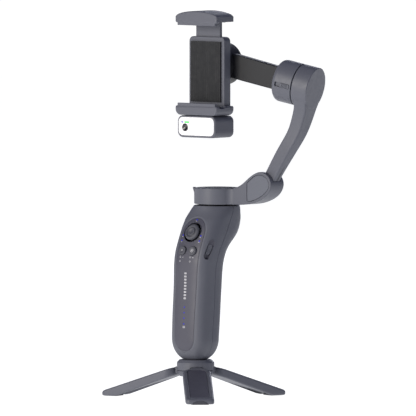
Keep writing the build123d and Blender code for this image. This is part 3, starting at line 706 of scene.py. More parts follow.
class GIMBAL_OT_lights_and_marks(Piece, bpy.types.Operator):
    """Status lights on the panel and the small generic marks printed beside them"""
    bl_idname = "gimbal.lights_and_marks"
    bl_label = "Lights and Marks"

    def make(self, sizes):
        """Lights are low turned domes. Marks are thin slabs of ink laid on the panel."""
        lens = [(0, 0.2), *arc((0.3, 0.18), (0.62, 0.0), 90, 0), (0.62, -0.4), (0, -0.4)]
        lights = [turned(lens, face_place(0, z), 28) for z in BATTERY_LIGHTS]
        lights += [turned(lens, face_place(x, z), 28) for x, z in STATUS_LIGHTS]
        build("panel_lights", lights, "handle", "light_blue", ["status_lights"])

        def mark(outline, x, z):
            return plate(outline, ((0, -0.05), (0, 0.05), (0.05, 0.07)), face_place(x, z))

        def ring(radius, x, z):
            return band(circle(radius, 32), ((0, -0.05), (0, 0.06), (0.26, 0.06), (0.26, -0.05)), face_place(x, z))

        marks = [mark(rounded(2.5, sizes.mark_width, 0.4, 5), 0, z) for z in np.linspace(83.8, 104.4, 9)]
        marks += [mark(rounded(2.0, 0.4, 0.12, 4), -0.2, 59.9 + step) for step in (-0.6, 0, 0.6)]
        marks.append(mark(rounded(0.4, 1.6, 0.12, 3), 1.1, 59.9))
        marks += [mark(rounded(1.3, 0.55, 0.2, 4), x - 0.2, z - 1.15) for x, z in STATUS_LIGHTS]
        for x in (-BUTTON_X, BUTTON_X):
            marks += [ring(0.8, x - 1.7, 117.8), mark(rounded(1.0, 0.45, 0.15, 4), x + 1.3, 117.6),
                      mark(rounded(0.45, 1.0, 0.15, 4), x + 1.3, 117.6), ring(0.75, x - 1.5, 114.4)]
        build("printed_marks", marks, "handle", "ink")


BATTERY_LIGHTS = (76.4, 71.9, 67.3, 62.6)
STATUS_LIGHTS = ((0.0, 148.3), (-9.7, 135.5), (9.7, 135.5), (-9.6, 131.3), (9.6, 131.3))


class GIMBAL_OT_tripod(Piece, bpy.types.Operator):
    """Tripod hub in two halves, and three legs with their inlays and rubber feet"""
    bl_idname = "gimbal.tripod"
    bl_label = "Tripod"

    def make(self, sizes):
        """The hub is a turned profile with three slots cut for the legs' tabs."""
        axis = ((0, 0, 0), (1, 0, 0), (0, 0, 1))
        screw = 3.4
        hub = [(screw, HUB_SEAM + 0.15), (HUB_R - 0.4, HUB_SEAM + 0.15), (HUB_R, HUB_SEAM + 0.5),
               (HUB_R, HUB_TOP - 2.7), (HUB_R - 0.15, HUB_TOP - 2.3), (HUB_R - 1.9, HUB_TOP - 0.25),
               (HUB_R - 2.4, HUB_TOP), (screw, HUB_TOP)]
        base = [(0, HUB_LOW), *arc((HUB_R - 3.2, HUB_LOW), (HUB_R, HUB_LOW + 3.0), -90, 0),
                (HUB_R, HUB_SEAM - 0.35), (HUB_R - 0.4, HUB_SEAM - 0.05), (0, HUB_SEAM - 0.05)]
        slots = [put_leg(slab_between(rounded(9, 10.2, 0.4, 3, middle=(12.4, 0)), 10, HUB_SEAM + 3.2,
                                      axis), angle) for angle in LEGS.values()]
        build("hub_top", [carved(turned(hub, axis, 128, closed=True), *slots)], "tripod", "shell_plastic",
              ["tripod_hub"])
        build("hub_bottom", [carved(turned(base, axis, 128), *slots)], "tripod", "shell_plastic",
              ["tripod_base"])
        for name, angle in LEGS.items():
            build(f"leg_{name}_bar", [put_leg(part, angle) for part in leg_bar()], f"leg_{name}",
                  "shell_plastic", [f"leg_{name}"])
            build(f"leg_{name}_inlay", [put_leg(leg_inlay(), angle)], f"leg_{name}", "panel_plastic",
                  [f"leg_inlay_{name}"])
            build(f"leg_{name}_foot", [put_leg(part, angle) for part in leg_foot()], f"leg_{name}",
                  "foot_rubber", [f"foot_pad_{name}"])


def put_leg(part, angle):
    """Turns a part drawn along +X about the hub axis into a leg's own direction."""
    turn = np.radians(angle - 90)
    matrix = np.array([(np.cos(turn), np.sin(turn), 0), (-np.sin(turn), np.cos(turn), 0), (0, 0, 1)])
    return part[0] @ matrix, part[1]


def leg_top(r):
    """Height of a leg's upper side at a distance from the hub axis: a straight slope to the tip."""
    return LEG_TIP_HIGH + LEG_SLOPE * (LEG_TIP_R - r)


def leg_under(r):
    """Height of a leg's underside: a straight slope down to where it meets the floor, then level."""
    start = HUB_R + LEG_START
    return np.interp(r, (start, LEG_FLAT_R), (leg_top(start) - 7.2, FOOT_PROUD))


LEG_START, LEG_FLAT_R, FOOT_PROUD = 1.2, 69.0, 0.4
INLAY = (58.0, 15.7, (1.6, 5.0, 5.0, 1.6), 48.3)     # length, width, corner radii, middle


def leg_bar():
    """A leg along +X: rings of one plan outline, drawn in where the edges roll, between underside and
    upper side, with the pocket for the inlay sunk into the top; and the hinge tab at the hub."""
    start = HUB_R + LEG_START
    plan = rounded(LEG_TIP_R - start, LEG_WIDTH, (3.5, 7.5, 7.5, 3.5), 8, 12, ((start + LEG_TIP_R) / 2, 0))
    long, wide, radii, at = INLAY
    pocket = rounded(long + 0.5, wide + 0.5, radii, 8, 12, (at, 0))

    def ring(outline, above, drop):
        """drop is measured down from the upper side, or up from the underside."""
        r = outline[:, 0]
        z = leg_top(r) - drop if above else leg_under(r) + drop
        return np.column_stack([outline, z])

    turn = np.radians(np.linspace(0, 90, 5))
    below = [ring(shrunk(plan, 1.3 * (1 - np.sin(t))), False, 1.3 * (1 - np.cos(t))) for t in turn]
    above = [ring(shrunk(plan, 1.7 * (1 - np.cos(t))), True, 1.7 * (1 - np.sin(t))) for t in turn]
    rim = [ring(shrunk(pocket, -0.2), True, 0.0), ring(pocket, True, 0.18), ring(pocket, True, 1.1)]
    body = skin(np.stack(below + above + rim))
    tab_side = np.array([(11.5, 25.7), (9.2, 24.4), (9.2, 22.4), (11.5, 20.9), (20.6, leg_top(20.6) - 4.4),
                         (20.6, leg_top(20.6) - 0.7), (16.2, leg_top(16.2) + 0.2)])
    tab = plate(tab_side, rolled(-4.75, 4.75, 0.5, 0.5, 4))
    return body, tab


def leg_inlay():
    """The inlay: its outline drawn in where the edge rolls, a hair below the leg's upper side."""
    long, wide, radii, at = INLAY
    outline = rounded(long - 0.2, wide - 0.2, radii, 8, 12, (at, 0))
    rings = []
    for inset, drop in ((0, 1.05), (0, 0.5), (0.08, 0.32), (0.3, 0.2)):
        line = shrunk(outline, inset)
        rings.append(np.column_stack([line, leg_top(line[:, 0]) - drop]))
    return skin(np.stack(rings))


def leg_foot():
    """The rubber foot: a pad under the tip, and an arch of it that turns up over the leg's end."""
    pad = plate(rounded(12.4, 15.0, 3.0, 8, 6, (76.5, 0)), rolled(0.0, 1.6, 0.5, 0.2), FLOOR_PLAN)
    across = np.linspace(-6.6, 6.6, 25)
    arch = np.concatenate([np.stack([across, 0.3 + 3.0 * np.sqrt(np.clip(1 - (across / 6.6) ** 2, 0, 1))],
                                    axis=1), straight((6.6, 0.25), (-6.6, 0.25), 12)])
    turned_up = plate(arch, rolled(-1.0, 0.3, 0.05, 0.25, 4), ((LEG_TIP_R, 0, 0), (0, 1, 0), (1, 0, 0)))
    return pad, turned_up


FLOOR_PLAN = ((0, 0, 0), (1, 0, 0), (0, 0, 1))


class GIMBAL_OT_pan_ring(Piece, bpy.types.Operator):
    """Pan ring with its yoke, the dished cap in the ring and the cover plate on the yoke"""
    bl_idname = "gimbal.pan_ring"
    bl_label = "Pan Ring and Yoke"

    def make(self, sizes):
        """The ring is turned. The yoke is a slab of its front outline, with the arm's slot cut out."""
        middle = ((PAN_MIDDLE[0], PAN_MIDDLE[1], 0), (1, 0, 0), (0, 0, 1))
        ring = [(16.7, PAN_LOW + 0.2), (PAN_R - 0.5, PAN_LOW), (PAN_R - 0.12, PAN_LOW + 0.15),
                (PAN_R, PAN_LOW + 0.6), (PAN_R, PAN_TOP - 0.7), (PAN_R - 0.15, PAN_TOP - 0.2),
                (PAN_R - 0.5, PAN_TOP), (17.4, PAN_TOP), (17.1, PAN_TOP - 0.3), (17.0, PAN_TOP - 2.1),
                (5.0, PAN_TOP - 2.2), (5.0, PAN_TOP - 4.0), (16.7, PAN_TOP - 4.0)]
        outline = np.concatenate([
            straight((15.0, PAN_LOW), (28, PAN_LOW), 8),
            flowing([(28, PAN_LOW), (40.5, 162.0), (51.7, 165.6), (60.0, 171.8), (62.6, 178.5), (59.6, 185.4),
                     (51.3, 188.8), (43.9, 186.7), (37.2, 182.4), (30.4, 177.5), (22.5, PAN_TOP + 0.3)], 90),
            straight((20.0, PAN_TOP), (15.0, PAN_TOP), 4)])
        yoke = plate(outline, rolled(-YOKE_BACK, -YOKE_FRONT, 1.0, 0.8))
        lean, half = np.radians(ARM_LEAN), ARM_THICK / 2 + 0.6
        foot = HINGE[[0, 2]] + (1.4 + half * np.cos(lean) - 3, -half * np.sin(lean) - 3 / np.tan(lean))
        far = foot + 60 * np.array([np.sin(lean), np.cos(lean)])
        corner = HINGE[[0, 2]] - (8.6, 0)
        room = np.array([foot, far, (corner[0], 225.0), corner])
        cuts = [slab_between(room, -SLOT_BACK, -SLOT_FRONT, FRONT),
                slab_between(circle(KNUCKLE_R + 0.5, 48, HINGE[[0, 2]]), -SLOT_BACK + 0.01,
                             -SLOT_FRONT - 0.01, FRONT),
                slab_between(cover_outline(-0.25), -YOKE_FRONT - 1.25, -YOKE_FRONT + 2, FRONT),
                slab_between(circle(17.2, 96), PAN_TOP - 2.3, PAN_TOP + 9, middle),
                slab_between(circle(16.4, 96), PAN_LOW - 5, PAN_TOP - 4.2, middle)]
        tip = np.array([(1.4, -3.6), (1.4, 0.5), (-0.7, 0.5), (-1.1, 0.1), (-0.1, -3.6)])
        turn = np.radians(LIP_TURN)
        lip = plate(tip, rolled(-2.4, 2.4, 0.15, 0.15, 3),
                    ((PAN_MIDDLE[0] + PAN_R * np.cos(turn), PAN_MIDDLE[1] + PAN_R * np.sin(turn), PAN_TOP),
                     (-np.cos(turn), -np.sin(turn), 0), (-np.sin(turn), np.cos(turn), 0)))
        radius, y = YOKE_FILLET, YOKE_FRONT - YOKE_FILLET
        far_x = np.sqrt((PAN_R + radius) ** 2 - (PAN_MIDDLE[1] - y) ** 2)
        meet = np.arctan2(PAN_MIDDLE[1] - y, -far_x)
        bend = np.linspace(meet, np.pi / 2, 12)
        fillet = np.concatenate([np.stack([far_x + radius * np.cos(bend), y + radius * np.sin(bend)], axis=1),
                                 [(far_x + 1.5, YOKE_FRONT + 0.4), (far_x + 1.5, 30.0), (15.5, 30.0)]])
        web = plate(fillet, rolled(PAN_LOW, PAN_TOP, 0.7, 0.6, 4), ((PAN_MIDDLE[0], 0, 0), (1, 0, 0), (0, 0, 1)))
        build("pan_ring_and_yoke", [turned(ring, middle, 128, closed=True), carved(yoke, *cuts), web, lip],
              "pan", "shell_plastic", ["pan_arm"])
        dish = [(0, PAN_TOP - 1.5), *[(r, PAN_TOP - 1.5 + 1.0 * (r / 16) ** 2) for r in range(2, 17, 2)],
                (16.6, PAN_TOP - 0.45), (16.85, PAN_TOP - 0.7), (16.85, PAN_TOP - 2.0), (0, PAN_TOP - 2.0)]
        build("pan_dish", [turned(dish, middle, 128)], "pan", "dark_plastic", ["pan_cap"])
        build("yoke_cover_plate", [plate(cover_outline(0.1), rolled(-YOKE_FRONT - 1.15, -YOKE_FRONT - 0.02,
                                                                    0.05, 0.35))],
              "pan", "cover_plastic", ["hinge_cover"])


LIP_TURN, YOKE_FILLET = 220.0, 6.0


def cover_outline(inset):
    """The cover's front outline: straight inner edge, straight upper left, and one flowing curve."""
    bend = flowing([(44.9, 185.1), (52.7, 186.1), (59.9, 180.5), (60.0, 176.0), (56.5, 171.7), (49.8, 167.3),
                    (40.2, 163.9)], 64)
    outline = np.concatenate([straight((37.4, 164.4), (37.0, 165.2), 2), straight((37.0, 165.2), (37.0, 179.3), 10),
                              straight((37.0, 179.3), bend[0], 8), bend, straight((39.6, 163.75), (37.4, 164.4), 4)])
    return shrunk(outline[::-1], inset)


class GIMBAL_OT_folding_arm(Piece, bpy.types.Operator):
    """Folding arm that flows into the arm side of the tilt drum"""
    bl_idname = "gimbal.folding_arm"
    bl_label = "Folding Arm"

    def make(self, sizes):
        """The bar is a rounded rectangle carried along a spline of its stations. Each station leans in
        the XZ plane and turns about Z; the knuckle and the drum's half are turned profiles."""
        reach = np.arange(len(ARM_STATIONS), dtype=float)
        x, y, z, lean, yaw, width = spline(reach, ARM_STATIONS, np.linspace(0, reach[-1], 64)).T[:, :, None]
        lean, yaw = np.radians(lean), np.radians(yaw)
        across = np.stack([np.cos(lean) * np.cos(yaw), np.cos(lean) * np.sin(yaw), -np.sin(lean)], axis=2)
        up = np.stack([np.sin(lean) * np.cos(yaw), np.sin(lean) * np.sin(yaw), np.cos(lean)], axis=2)
        section = rounded(1, 1, 0, 7, 8)
        corner = ARM_ROUND
        unit_section = rounded(ARM_THICK, ARM_THICK, corner, 7, 8)
        u = unit_section[None, :, :1]
        v = unit_section[None, :, 1:] + np.sign(unit_section[None, :, 1:]) * (width[:, :, None] - ARM_THICK) / 2
        origin = np.stack([x, y, z], axis=2)
        bar = skin(origin + u * across + v * np.cross(up, across))
        knuckle = [(0, SLOT_FRONT + 0.3), (KNUCKLE_R - 0.4, SLOT_FRONT + 0.3), (KNUCKLE_R, SLOT_FRONT + 0.7),
                   (KNUCKLE_R, SLOT_BACK - 0.7), (KNUCKLE_R - 0.4, SLOT_BACK - 0.3), (0, SLOT_BACK - 0.3)]
        hinge = ((HINGE[0], 0, HINGE[2]), (1, 0, 0), (0, 1, 0))
        near, far = DRUM_GAP / 2, DRUM_GAP / 2 + ARM_SIDE
        drum = [(0, near), (DRUM_R - 0.7, near), *arc((DRUM_R - 0.4, near), (DRUM_R, near + 0.5), -90, 0, 4),
                (DRUM_R, far - 1.0), *arc((DRUM_R, far - 0.7), (DRUM_R - 0.7, far), 0, 90, 5), (0, far)]
        build("folding_arm", [bar, turned(knuckle, hinge), turned(drum, drum_place(), 128)],
              "arm", "shell_plastic", ["fold_arm"])


ARM_ROUND = 1.6
DRUM_ACROSS = (0.244, -0.970, 0.0)


def drum_place():
    """The tilt drum's place: its axis points away from the phone, its across direction to the user."""
    return DRUM, DRUM_ACROSS, DRUM_AXIS


class GIMBAL_OT_tilt_drum(Piece, bpy.types.Operator):
    """Phone side of the tilt drum with its lock slider, and the dark bar and cup behind the phone"""
    bl_idname = "gimbal.tilt_drum"
    bl_label = "Tilt Drum and Bar"

    def make(self, sizes):
        """The drum is turned, with a groove cut for the slider. The bar is a slab of its front outline."""
        near, far, r = -DRUM_GAP / 2, -DRUM_GAP / 2 - PHONE_SIDE, DRUM_R
        shell = [(0, far), *arc((r - DRUM_ROUND, far), (r, far + DRUM_ROUND), -90, 0, 12), (r, near - 0.6),
                 *arc((r, near - 0.5), (r - 0.4, near), 0, 90, 4), (0, near)]
        turn = np.radians(LOCK_TURN)
        out = np.array([np.cos(turn), np.sin(turn), 0.0])
        across_axis = put(np.array([[0, 0, 1.0]]), ((0, 0, 0), DRUM_ACROSS, DRUM_AXIS))[0]
        radial = put(out[None], ((0, 0, 0), DRUM_ACROSS, DRUM_AXIS))[0]

        def on_drum(along):
            return DRUM + across_axis * along + radial * DRUM_R, across_axis, radial

        groove = slab_between(rounded(LOCK_FAR - LOCK_NEAR, LOCK_WIDE, 0.7, 5), -1.7, 3,
                              on_drum(-(LOCK_FAR + LOCK_NEAR) / 2))
        build("tilt_drum_shell", [carved(turned(shell, drum_place(), 128), groove)], "tilt",
              "shell_plastic", ["tilt_housing"])
        middle = -(LOCK_NEAR + 0.2 + LOCK_LONG / 2)
        slider = [plate(rounded(LOCK_LONG - 0.2, LOCK_WIDE - 0.4, 0.6, 5), rolled(-1.5, 0.2, 0.1, 0.35),
                        on_drum(middle))]
        slider += [plate(rounded(0.6, LOCK_WIDE - 1.2, 0.2, 4), rolled(0.0, 0.65, 0.05, 0.25, 3),
                         on_drum(middle + step)) for step in (-2.4, -1.2, 0, 1.2, 2.4)]
        build("lock_slider", slider, "tilt_lock", "shell_plastic", ["tilt_lock_slider"])

        low, high = span("tilt_arm")
        end = DRUM - DRUM_AXIS * (PHONE_SIDE - 1.2)
        bar_y = (-35.5, -28.5)
        outline = np.array([(8, ROLL_Z - BAR_HALF), (end[0] - 1, end[2] - BAR_HALF + 1.4),
                            (end[0] + 1.6, end[2] + BAR_HALF), (8, ROLL_Z + BAR_HALF)])
        outline = np.concatenate([straight(a, b, 8) for a, b in zip(outline, np.roll(outline, -1, axis=0))])
        cup_at = ((0, 0, ROLL_Z), (1, 0, 0), (0, -1, 0))
        front, back, cup_r = -low[1] - 0.0, -high[1], 17.6
        cup = [(0, back), *arc((cup_r - 3, back), (cup_r, back + 3), -90, 0, 8), (cup_r, front - 0.5),
               (cup_r - 0.4, front), (0, front)]
        build("tilt_bar_and_cup", [plate(outline, rolled(*bar_y, 1.2, 1.2)), turned(cup, cup_at, 128)],
              "tilt", "dark_plastic", ["tilt_arm"])


LOCK_TURN, LOCK_NEAR, LOCK_FAR, LOCK_WIDE, LOCK_LONG = 6.0, 1.6, 15.2, 4.0, 8.6
ROLL_Z, BAR_HALF = pivot("roll_turn")[2], 10.5


class GIMBAL_OT_clamp(Piece, bpy.types.Operator):
    """Phone clamp: lower jaw with spine, arched upper jaw, and their rubber pads"""
    bl_idname = "gimbal.clamp"
    bl_label = "Phone Clamp"

    def make(self, sizes):
        """Both jaws are slabs of a front outline with the phone's channel cut along X, and a thin lip."""
        lip_y = JAW_FRONT + LIP_THICK
        front_roll = rolled(-JAW_BACK, -JAW_FRONT, 1.4, 1.2)
        lip_roll = rolled(-lip_y, -JAW_FRONT - 0.4, 0.3, 0.4)

        def channel(roof, foot, radius):
            """The phone's channel seen from the side: from the lip back to the rest, under its roof."""
            return slab_between(rounded(REST_Y - lip_y, abs(roof - foot), radius, 8, 6,
                                        ((lip_y + REST_Y) / 2, (roof + foot) / 2)),
                                -30, 30, ((0, 0, 0), (0, 1, 0), (1, 0, 0)))

        x = np.linspace(JAW_HALF, -JAW_HALF, 41)
        arched = np.stack([x, JAW_TOP - JAW_ARCH * (x / JAW_HALF) ** 2 - 1.5 * np.abs(x / JAW_HALF) ** 12], axis=1)
        upper = np.concatenate([
            circle_part((-JAW_HALF + 1.5, JAW_LIFT + 1.5), 1.5, 180, 270),
            straight((-JAW_HALF + 1.5, JAW_LIFT), (JAW_HALF - 1.5, JAW_LIFT), 24),
            circle_part((JAW_HALF - 1.5, JAW_LIFT + 1.5), 1.5, -90, 0),
            straight((JAW_HALF, JAW_LIFT + 1.5), arched[0], 6), arched[:-1],
            straight(arched[-1], (-JAW_HALF, JAW_LIFT + 1.5), 6)])
        low_z = GAP_HIGH - LIP_HIGH
        behind = slab_between(rounded(60, 8, 0.4, 3, 6, (0, JAW_BACK_LIFT - 4)), -40, -REST_Y + 0.5, FRONT)
        jaw = carved(plate(upper, front_roll), channel(GAP_HIGH + 1.0, low_z - 6, 3.2), behind)
        lip = plate(rounded(2 * LIP_HALF, JAW_LIFT + 2.5 - low_z, 0.5, 5, 12, (0, (JAW_LIFT + 2.5 + low_z) / 2)),
                    lip_roll)
        low, high = span("upper_jaw")
        tongue = plate(rounded(26, GAP_HIGH + 3 - low[2], 1.5, 5, 8, (0, (GAP_HIGH + 3 + low[2]) / 2)),
                       rolled(-19.0, -16.0, 0.4, 0.4))
        build("upper_jaw_shell", [jaw, lip, tongue], "jaw", "shell_plastic", ["upper_jaw"])
        pad_low, pad_high = span("upper_jaw_pad")
        build("upper_pad", [ribbed_pad(pad_low, pad_high, (0, 0, -1))], "jaw", "grip_rubber",
              ["upper_jaw_pad"])

        low, high = span("clamp_body")
        bottom, top_z = low[2], GAP_LOW + LIP_HIGH
        lower = np.concatenate([
            circle_part((-JAW_HALF + 5, bottom + 5), 5, 180, 270),
            straight((-JAW_HALF + 5, bottom), (JAW_HALF - 5, bottom), 20),
            circle_part((JAW_HALF - 5, bottom + 5), 5, -90, 0),
            circle_part((JAW_HALF - 1.5, JAW_DROP - 1.5), 1.5, 0, 90),
            straight((JAW_HALF - 1.5, JAW_DROP), (-JAW_HALF + 1.5, JAW_DROP), 24),
            circle_part((-JAW_HALF + 1.5, JAW_DROP - 1.5), 1.5, 90, 180)])
        jaw = carved(plate(lower, front_roll), channel(GAP_LOW - 1.0, top_z + 6, 2.4))
        lip = plate(rounded(2 * LIP_HALF, top_z - JAW_DROP + 2.5, 0.5, 5, 12, (0, (JAW_DROP - 2.5 + top_z) / 2)),
                    lip_roll)
        spine = rounded(38, high[2] - bottom - 3, 4.0, 8, 8, (0, (high[2] + bottom + 3) / 2))
        slot = slab_between(rounded(26.5, 90, 0.6, 4, 8, (0, 291)), -19.25, -15.75, FRONT)
        spine = carved(plate(spine, rolled(-JAW_BACK, -14.2, 1.2, 0.8)), slot)
        build("clamp_spine_and_jaw", [jaw, lip, spine], "clamp", "shell_plastic", ["clamp_body"])
        build("lower_pad", [ribbed_pad(*span("lower_jaw_pad"), (0, 0, 1))], "clamp", "grip_rubber",
              ["lower_jaw_pad"])
        build("spine_pad", [ribbed_pad(*span("back_pad"), (0, -1, 0))], "clamp", "grip_rubber", ["back_pad"])


JAW_TOP, JAW_ARCH, JAW_LIFT, JAW_BACK_LIFT, JAW_DROP, LIP_HALF = 321.6, 3.2, 311.6, 312.6, 242.8, 20.3


def circle_part(middle, radius, start, end, steps=8):
    """Points along part of a circle, up to but not at its end."""
    turn = np.radians(np.linspace(start, end, steps, endpoint=False))
    return np.asarray(middle) + radius * np.stack([np.cos(turn), np.sin(turn)], axis=1)


def ribbed_pad(low, high, out):
    """A rubber pad in a box: a grid whose outer face waves by half a cosine every 2 mm along X.

    The wave dies away at the pad's edges, and the other five faces are flat.
    """
    out = np.asarray(out, float)
    normal = int(np.argmax(np.abs(out)))
    free = [axis for axis in range(3) if axis != normal]
    u = np.linspace(low[free[0]], high[free[0]], 145)
    v = np.linspace(low[free[1]], high[free[1]], 13)
    grid_u, grid_v = np.meshgrid(u, v, indexing="ij")
    edge = np.minimum.reduce([grid_u - u[0], u[-1] - grid_u, grid_v - v[0], v[-1] - grid_v])
    wave = 0.5 - 0.5 * np.cos((grid_u - u[0]) / 2.0 * 2 * np.pi)
    depth = 0.35 * np.clip(1 - edge / 0.6, 0, 1) ** 2 + 0.3 * (1 - wave) * np.clip(edge / 0.8, 0, 1)
    up = out[normal] > 0
    face, foot = (high[normal] - depth, low[normal]) if up else (low[normal] + depth, high[normal])
    rings = np.empty((2 * len(v), len(u), 3))
    for row, level in enumerate([*face.T, *[foot] * len(v)]):
        column = row if row < len(v) else 2 * len(v) - 1 - row
        rings[row, :, free[0]], rings[row, :, free[1]], rings[row, :, normal] = u, v[column], level
    rows, columns = rings.shape[:2]
    index = np.arange(rows * columns).reshape(rows, columns)
    index = np.vstack([index, index[:1]])
    faces = np.stack([index[:-1, :-1], index[:-1, 1:], index[1:, 1:], index[1:, :-1]], axis=2)
    ends = [index[:-1, 0].tolist(), index[:-1, -1].tolist()]
    return rings.reshape(-1, 3), faces.reshape(-1, 4).tolist() + ends


LENS_X = -12.0


class GIMBAL_OT_tracker(Piece, bpy.types.Operator):
    """Tracking module under the lower jaw: body, white face, lens and lamps"""
    bl_idname = "gimbal.tracker"
    bl_label = "Tracking Module"

    def make(self, sizes):
        """Body and face are slabs of rounded outlines; the lens is a turned profile."""
        low, high = span("tracker_body")
        middle = (0, (low[2] + high[2]) / 2)
        wide, tall, front, back = high[0] - low[0], high[2] - low[2], low[1], high[1]
        body = rounded(wide, tall, 5.0, 10, 8, middle)
        side = [*rolled(-back, -front, 2.0, 0.0, 6)[:6], (0, -front - 1.6), (0.15, -front - 0.9),
                (0.5, -front - 0.3), (1.0, -front)]
        face_low, face_high = span("tracker_face")
        lens_at = ((LENS_X, front - 0.12, middle[1] - 0.8), (1, 0, 0), (0, -1, 0))
        hole = slab_between(circle(3.25, 64), -4, 4, lens_at)
        build("tracker_shell", [carved(plate(body, side), hole)], "tracker", "shell_plastic",
              ["tracker_body"])
        face = rounded(wide - 2.9, face_high[2] - face_low[2] - 0.2, 4.3, 10, 8,
                       (0, (face_low[2] + face_high[2]) / 2))
        build("tracker_white_face", [carved(plate(face, rolled(-front - 0.9, -front + 0.12, 0.05, 0.3)), hole)],
              "tracker", "white_plastic", ["tracker_face"])
        lens = [(0, -0.9), (0.8, -0.83), (1.4, -0.62), (1.75, -0.4), (1.8, -0.1), (2.1, 0.02), (2.7, 0.02),
                (2.95, -0.05), (3.05, -0.3), (3.05, -2.4), (0, -2.4)]
        build("tracker_lens_glass", [turned(lens, lens_at)], "tracker", "lens_black", ["tracker_lens"])
        lamp_z = lens_at[0][2] + 4.4
        blue = turned([(0, 0.3), (0.45, 0.27), (0.72, 0.1), (0.72, -0.6), (0, -0.6)],
                      ((LENS_X - 3.0, front - 0.12, lamp_z), (1, 0, 0), (0, -1, 0)), 24)
        green = plate(rounded(4.6, 1.15, 0.3, 4, 4, (LENS_X + 1.8, lamp_z)),
                      rolled(-front - 0.5, -front + 0.3, 0.05, 0.1, 3))
        build("tracker_blue_lamp", [blue], "tracker", "light_blue", ["tracker_lights"])
        build("tracker_green_lamp", [green], "tracker", "light_green")


class GIMBAL_OT_frame_finishes(Piece, bpy.types.Operator):
    """Gives every CAD node that stays in sight or inside its own finish"""
    bl_idname = "gimbal.frame_finishes"
    bl_label = "Finishes of the Inner Parts"

    def make(self, sizes):
        for name, node in frame["nodes"].items():
            for slot in node.material_slots:
                slot.material = finish(SLOT_OF[name])


class GIMBAL_OT_stage(Piece, bpy.types.Operator):
    """Pale floor, soft studio light and the camera"""
    bl_idname = "gimbal.stage"
    bl_label = "Stage"

    def make(self, sizes):
        mesh = bpy.data.meshes.new("floor")
        ring = np.column_stack([circle(sizes.floor_radius, 96), np.zeros(96)])
        mesh.from_pydata(ring.tolist(), [], [list(range(96))])
        mesh.materials.append(finish("paper"))
        floor = bpy.data.objects.new("floor", mesh)
        bpy.context.scene.collection.objects.link(floor)

        right = np.array([np.cos(CAMERA_TURN), np.sin(CAMERA_TURN), 0])
        towards = np.array([np.sin(CAMERA_TURN) * np.cos(CAMERA_RISE),
                            -np.cos(CAMERA_TURN) * np.cos(CAMERA_RISE), np.sin(CAMERA_RISE)])
        up = np.cross(towards, right)
        target = HUB * MM + right * CAMERA_SIDE + up * CAMERA_UP
        data = bpy.data.cameras.new("camera")
        data.sensor_width, data.lens = 36.0, 36.0 * CAMERA_AWAY / VIEW_WIDTH
        data.clip_start, data.clip_end = 0.05, 100.0
        camera = bpy.data.objects.new("camera", data)
        camera.matrix_world = matrix_of(right, up, towards, target + towards * CAMERA_AWAY)
        bpy.context.scene.collection.objects.link(camera)
        bpy.context.scene.camera = camera

        for name, place, size, power, colour in LIGHTS:
            data = bpy.data.lights.new(name, "AREA")
            data.size, data.energy, data.color = size, power * sizes.light, linear(colour)[:3]
            lamp = bpy.data.objects.new(name, data)
            out = unit(place)
            across = unit(np.cross((0, 0, 1), out))
            lamp.matrix_world = matrix_of(across, np.cross(out, across), out, np.array(place) + (0, 0, 0.16))
            bpy.context.scene.collection.objects.link(lamp)

        world = bpy.data.worlds.new("studio")
        bpy.context.scene.world = world
        world.use_nodes = True
        tree = world.node_tree
        tree.nodes.clear()
        seen = add(tree, "LightPath").outputs["Is Camera Ray"]
        white = add(tree, "Background", {"Color": (1, 1, 1, 1), "Strength": 1.05}).outputs[0]
        room = add(tree, "Background", {"Color": linear("#b8c4ff"), "Strength": sizes.fill}).outputs[0]
        both = add(tree, "MixShader", {0: seen, 1: room, 2: white}).outputs[0]
        add(tree, "OutputWorld", {"Surface": both})
        bpy.context.scene.view_settings.view_transform = "Standard"


def matrix_of(right, up, out, place):
    """A 4 by 4 matrix as Blender takes it, from three directions and a place."""
    from mathutils import Matrix
    matrix = np.eye(4)
    matrix[:3, 0], matrix[:3, 1], matrix[:3, 2], matrix[:3, 3] = right, up, out, place
    return Matrix(matrix.tolist())


CAMERA_TURN, CAMERA_RISE, CAMERA_AWAY = np.radians(40.0), np.radians(3.1), 12.0
CAMERA_SIDE, CAMERA_UP, VIEW_WIDTH = 0.01029, 0.1579, 0.3453
LIGHTS = (      # name, place in metres, size, power, colour
    ("key", (-0.32, -2.05, 0.6), 1.0, 36.0, "#fffaf0"),
    ("top", (0.2, 0.6, 2.0), 1.2, 5.0, "#e8ecff"),
    ("back", (-0.9, 2.0, 0.6), 1.0, 12.0, "#f2f4ff"),
)


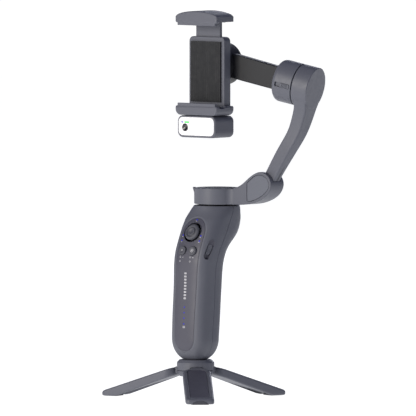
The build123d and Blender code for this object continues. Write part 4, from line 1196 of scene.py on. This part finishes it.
class GimbalSizes(bpy.types.PropertyGroup):
    """Sizes and light levels that a user would change"""
    edge_round: bpy.props.FloatProperty(name="Seam Rounding", default=0.4, min=0.1, max=1.0,
                                        description="How far the shells' edges roll in at the seam, in millimetres")
    mark_width: bpy.props.FloatProperty(name="Mark Height", default=1.55, min=0.5, max=2.2,
                                        description="Height of each printed dash on the panel, in millimetres")
    floor_radius: bpy.props.FloatProperty(name="Floor Radius", default=6.0, min=0.5, max=20.0, unit="LENGTH",
                                          description="Radius of the pale floor")
    light: bpy.props.FloatProperty(name="Light", default=1.0, min=0.1, max=5.0, subtype="FACTOR",
                                   description="Multiplies the power of every studio light")
    fill: bpy.props.FloatProperty(name="Fill Light", default=0.14, min=0.0, max=2.0, subtype="FACTOR",
                                  description="Strength of the even light from all round")


class GIMBAL_PT_sidebar(bpy.types.Panel):
    """Lists the gimbal's pieces and its sizes"""
    bl_idname = "GIMBAL_PT_sidebar"
    bl_label = "Phone Gimbal"
    bl_space_type = "VIEW_3D"
    bl_region_type = "UI"
    bl_category = "Gimbal"

    def draw(self, context):
        for operator in OPERATORS:
            self.layout.operator(operator.bl_idname)
        for name in GimbalSizes.__annotations__:
            self.layout.prop(context.scene.gimbal_sizes, name)


OPERATORS = (GIMBAL_OT_frame_finishes, GIMBAL_OT_handle_shells, GIMBAL_OT_control_panel, GIMBAL_OT_controls,
             GIMBAL_OT_lights_and_marks, GIMBAL_OT_tripod, GIMBAL_OT_pan_ring, GIMBAL_OT_folding_arm,
             GIMBAL_OT_tilt_drum, GIMBAL_OT_clamp, GIMBAL_OT_tracker, GIMBAL_OT_stage)
CLASSES = (GimbalSizes, *OPERATORS, GIMBAL_PT_sidebar)


def register():
    for item in CLASSES:
        bpy.utils.register_class(item)
    bpy.types.Scene.gimbal_sizes = bpy.props.PointerProperty(type=GimbalSizes)


def unregister():
    del bpy.types.Scene.gimbal_sizes
    for item in reversed(CLASSES):
        bpy.utils.unregister_class(item)


def main():
    register()
    for operator in OPERATORS:
        group, name = operator.bl_idname.split(".")
        getattr(getattr(bpy.ops, group), name)()


if __name__ == "__main__":
    main()
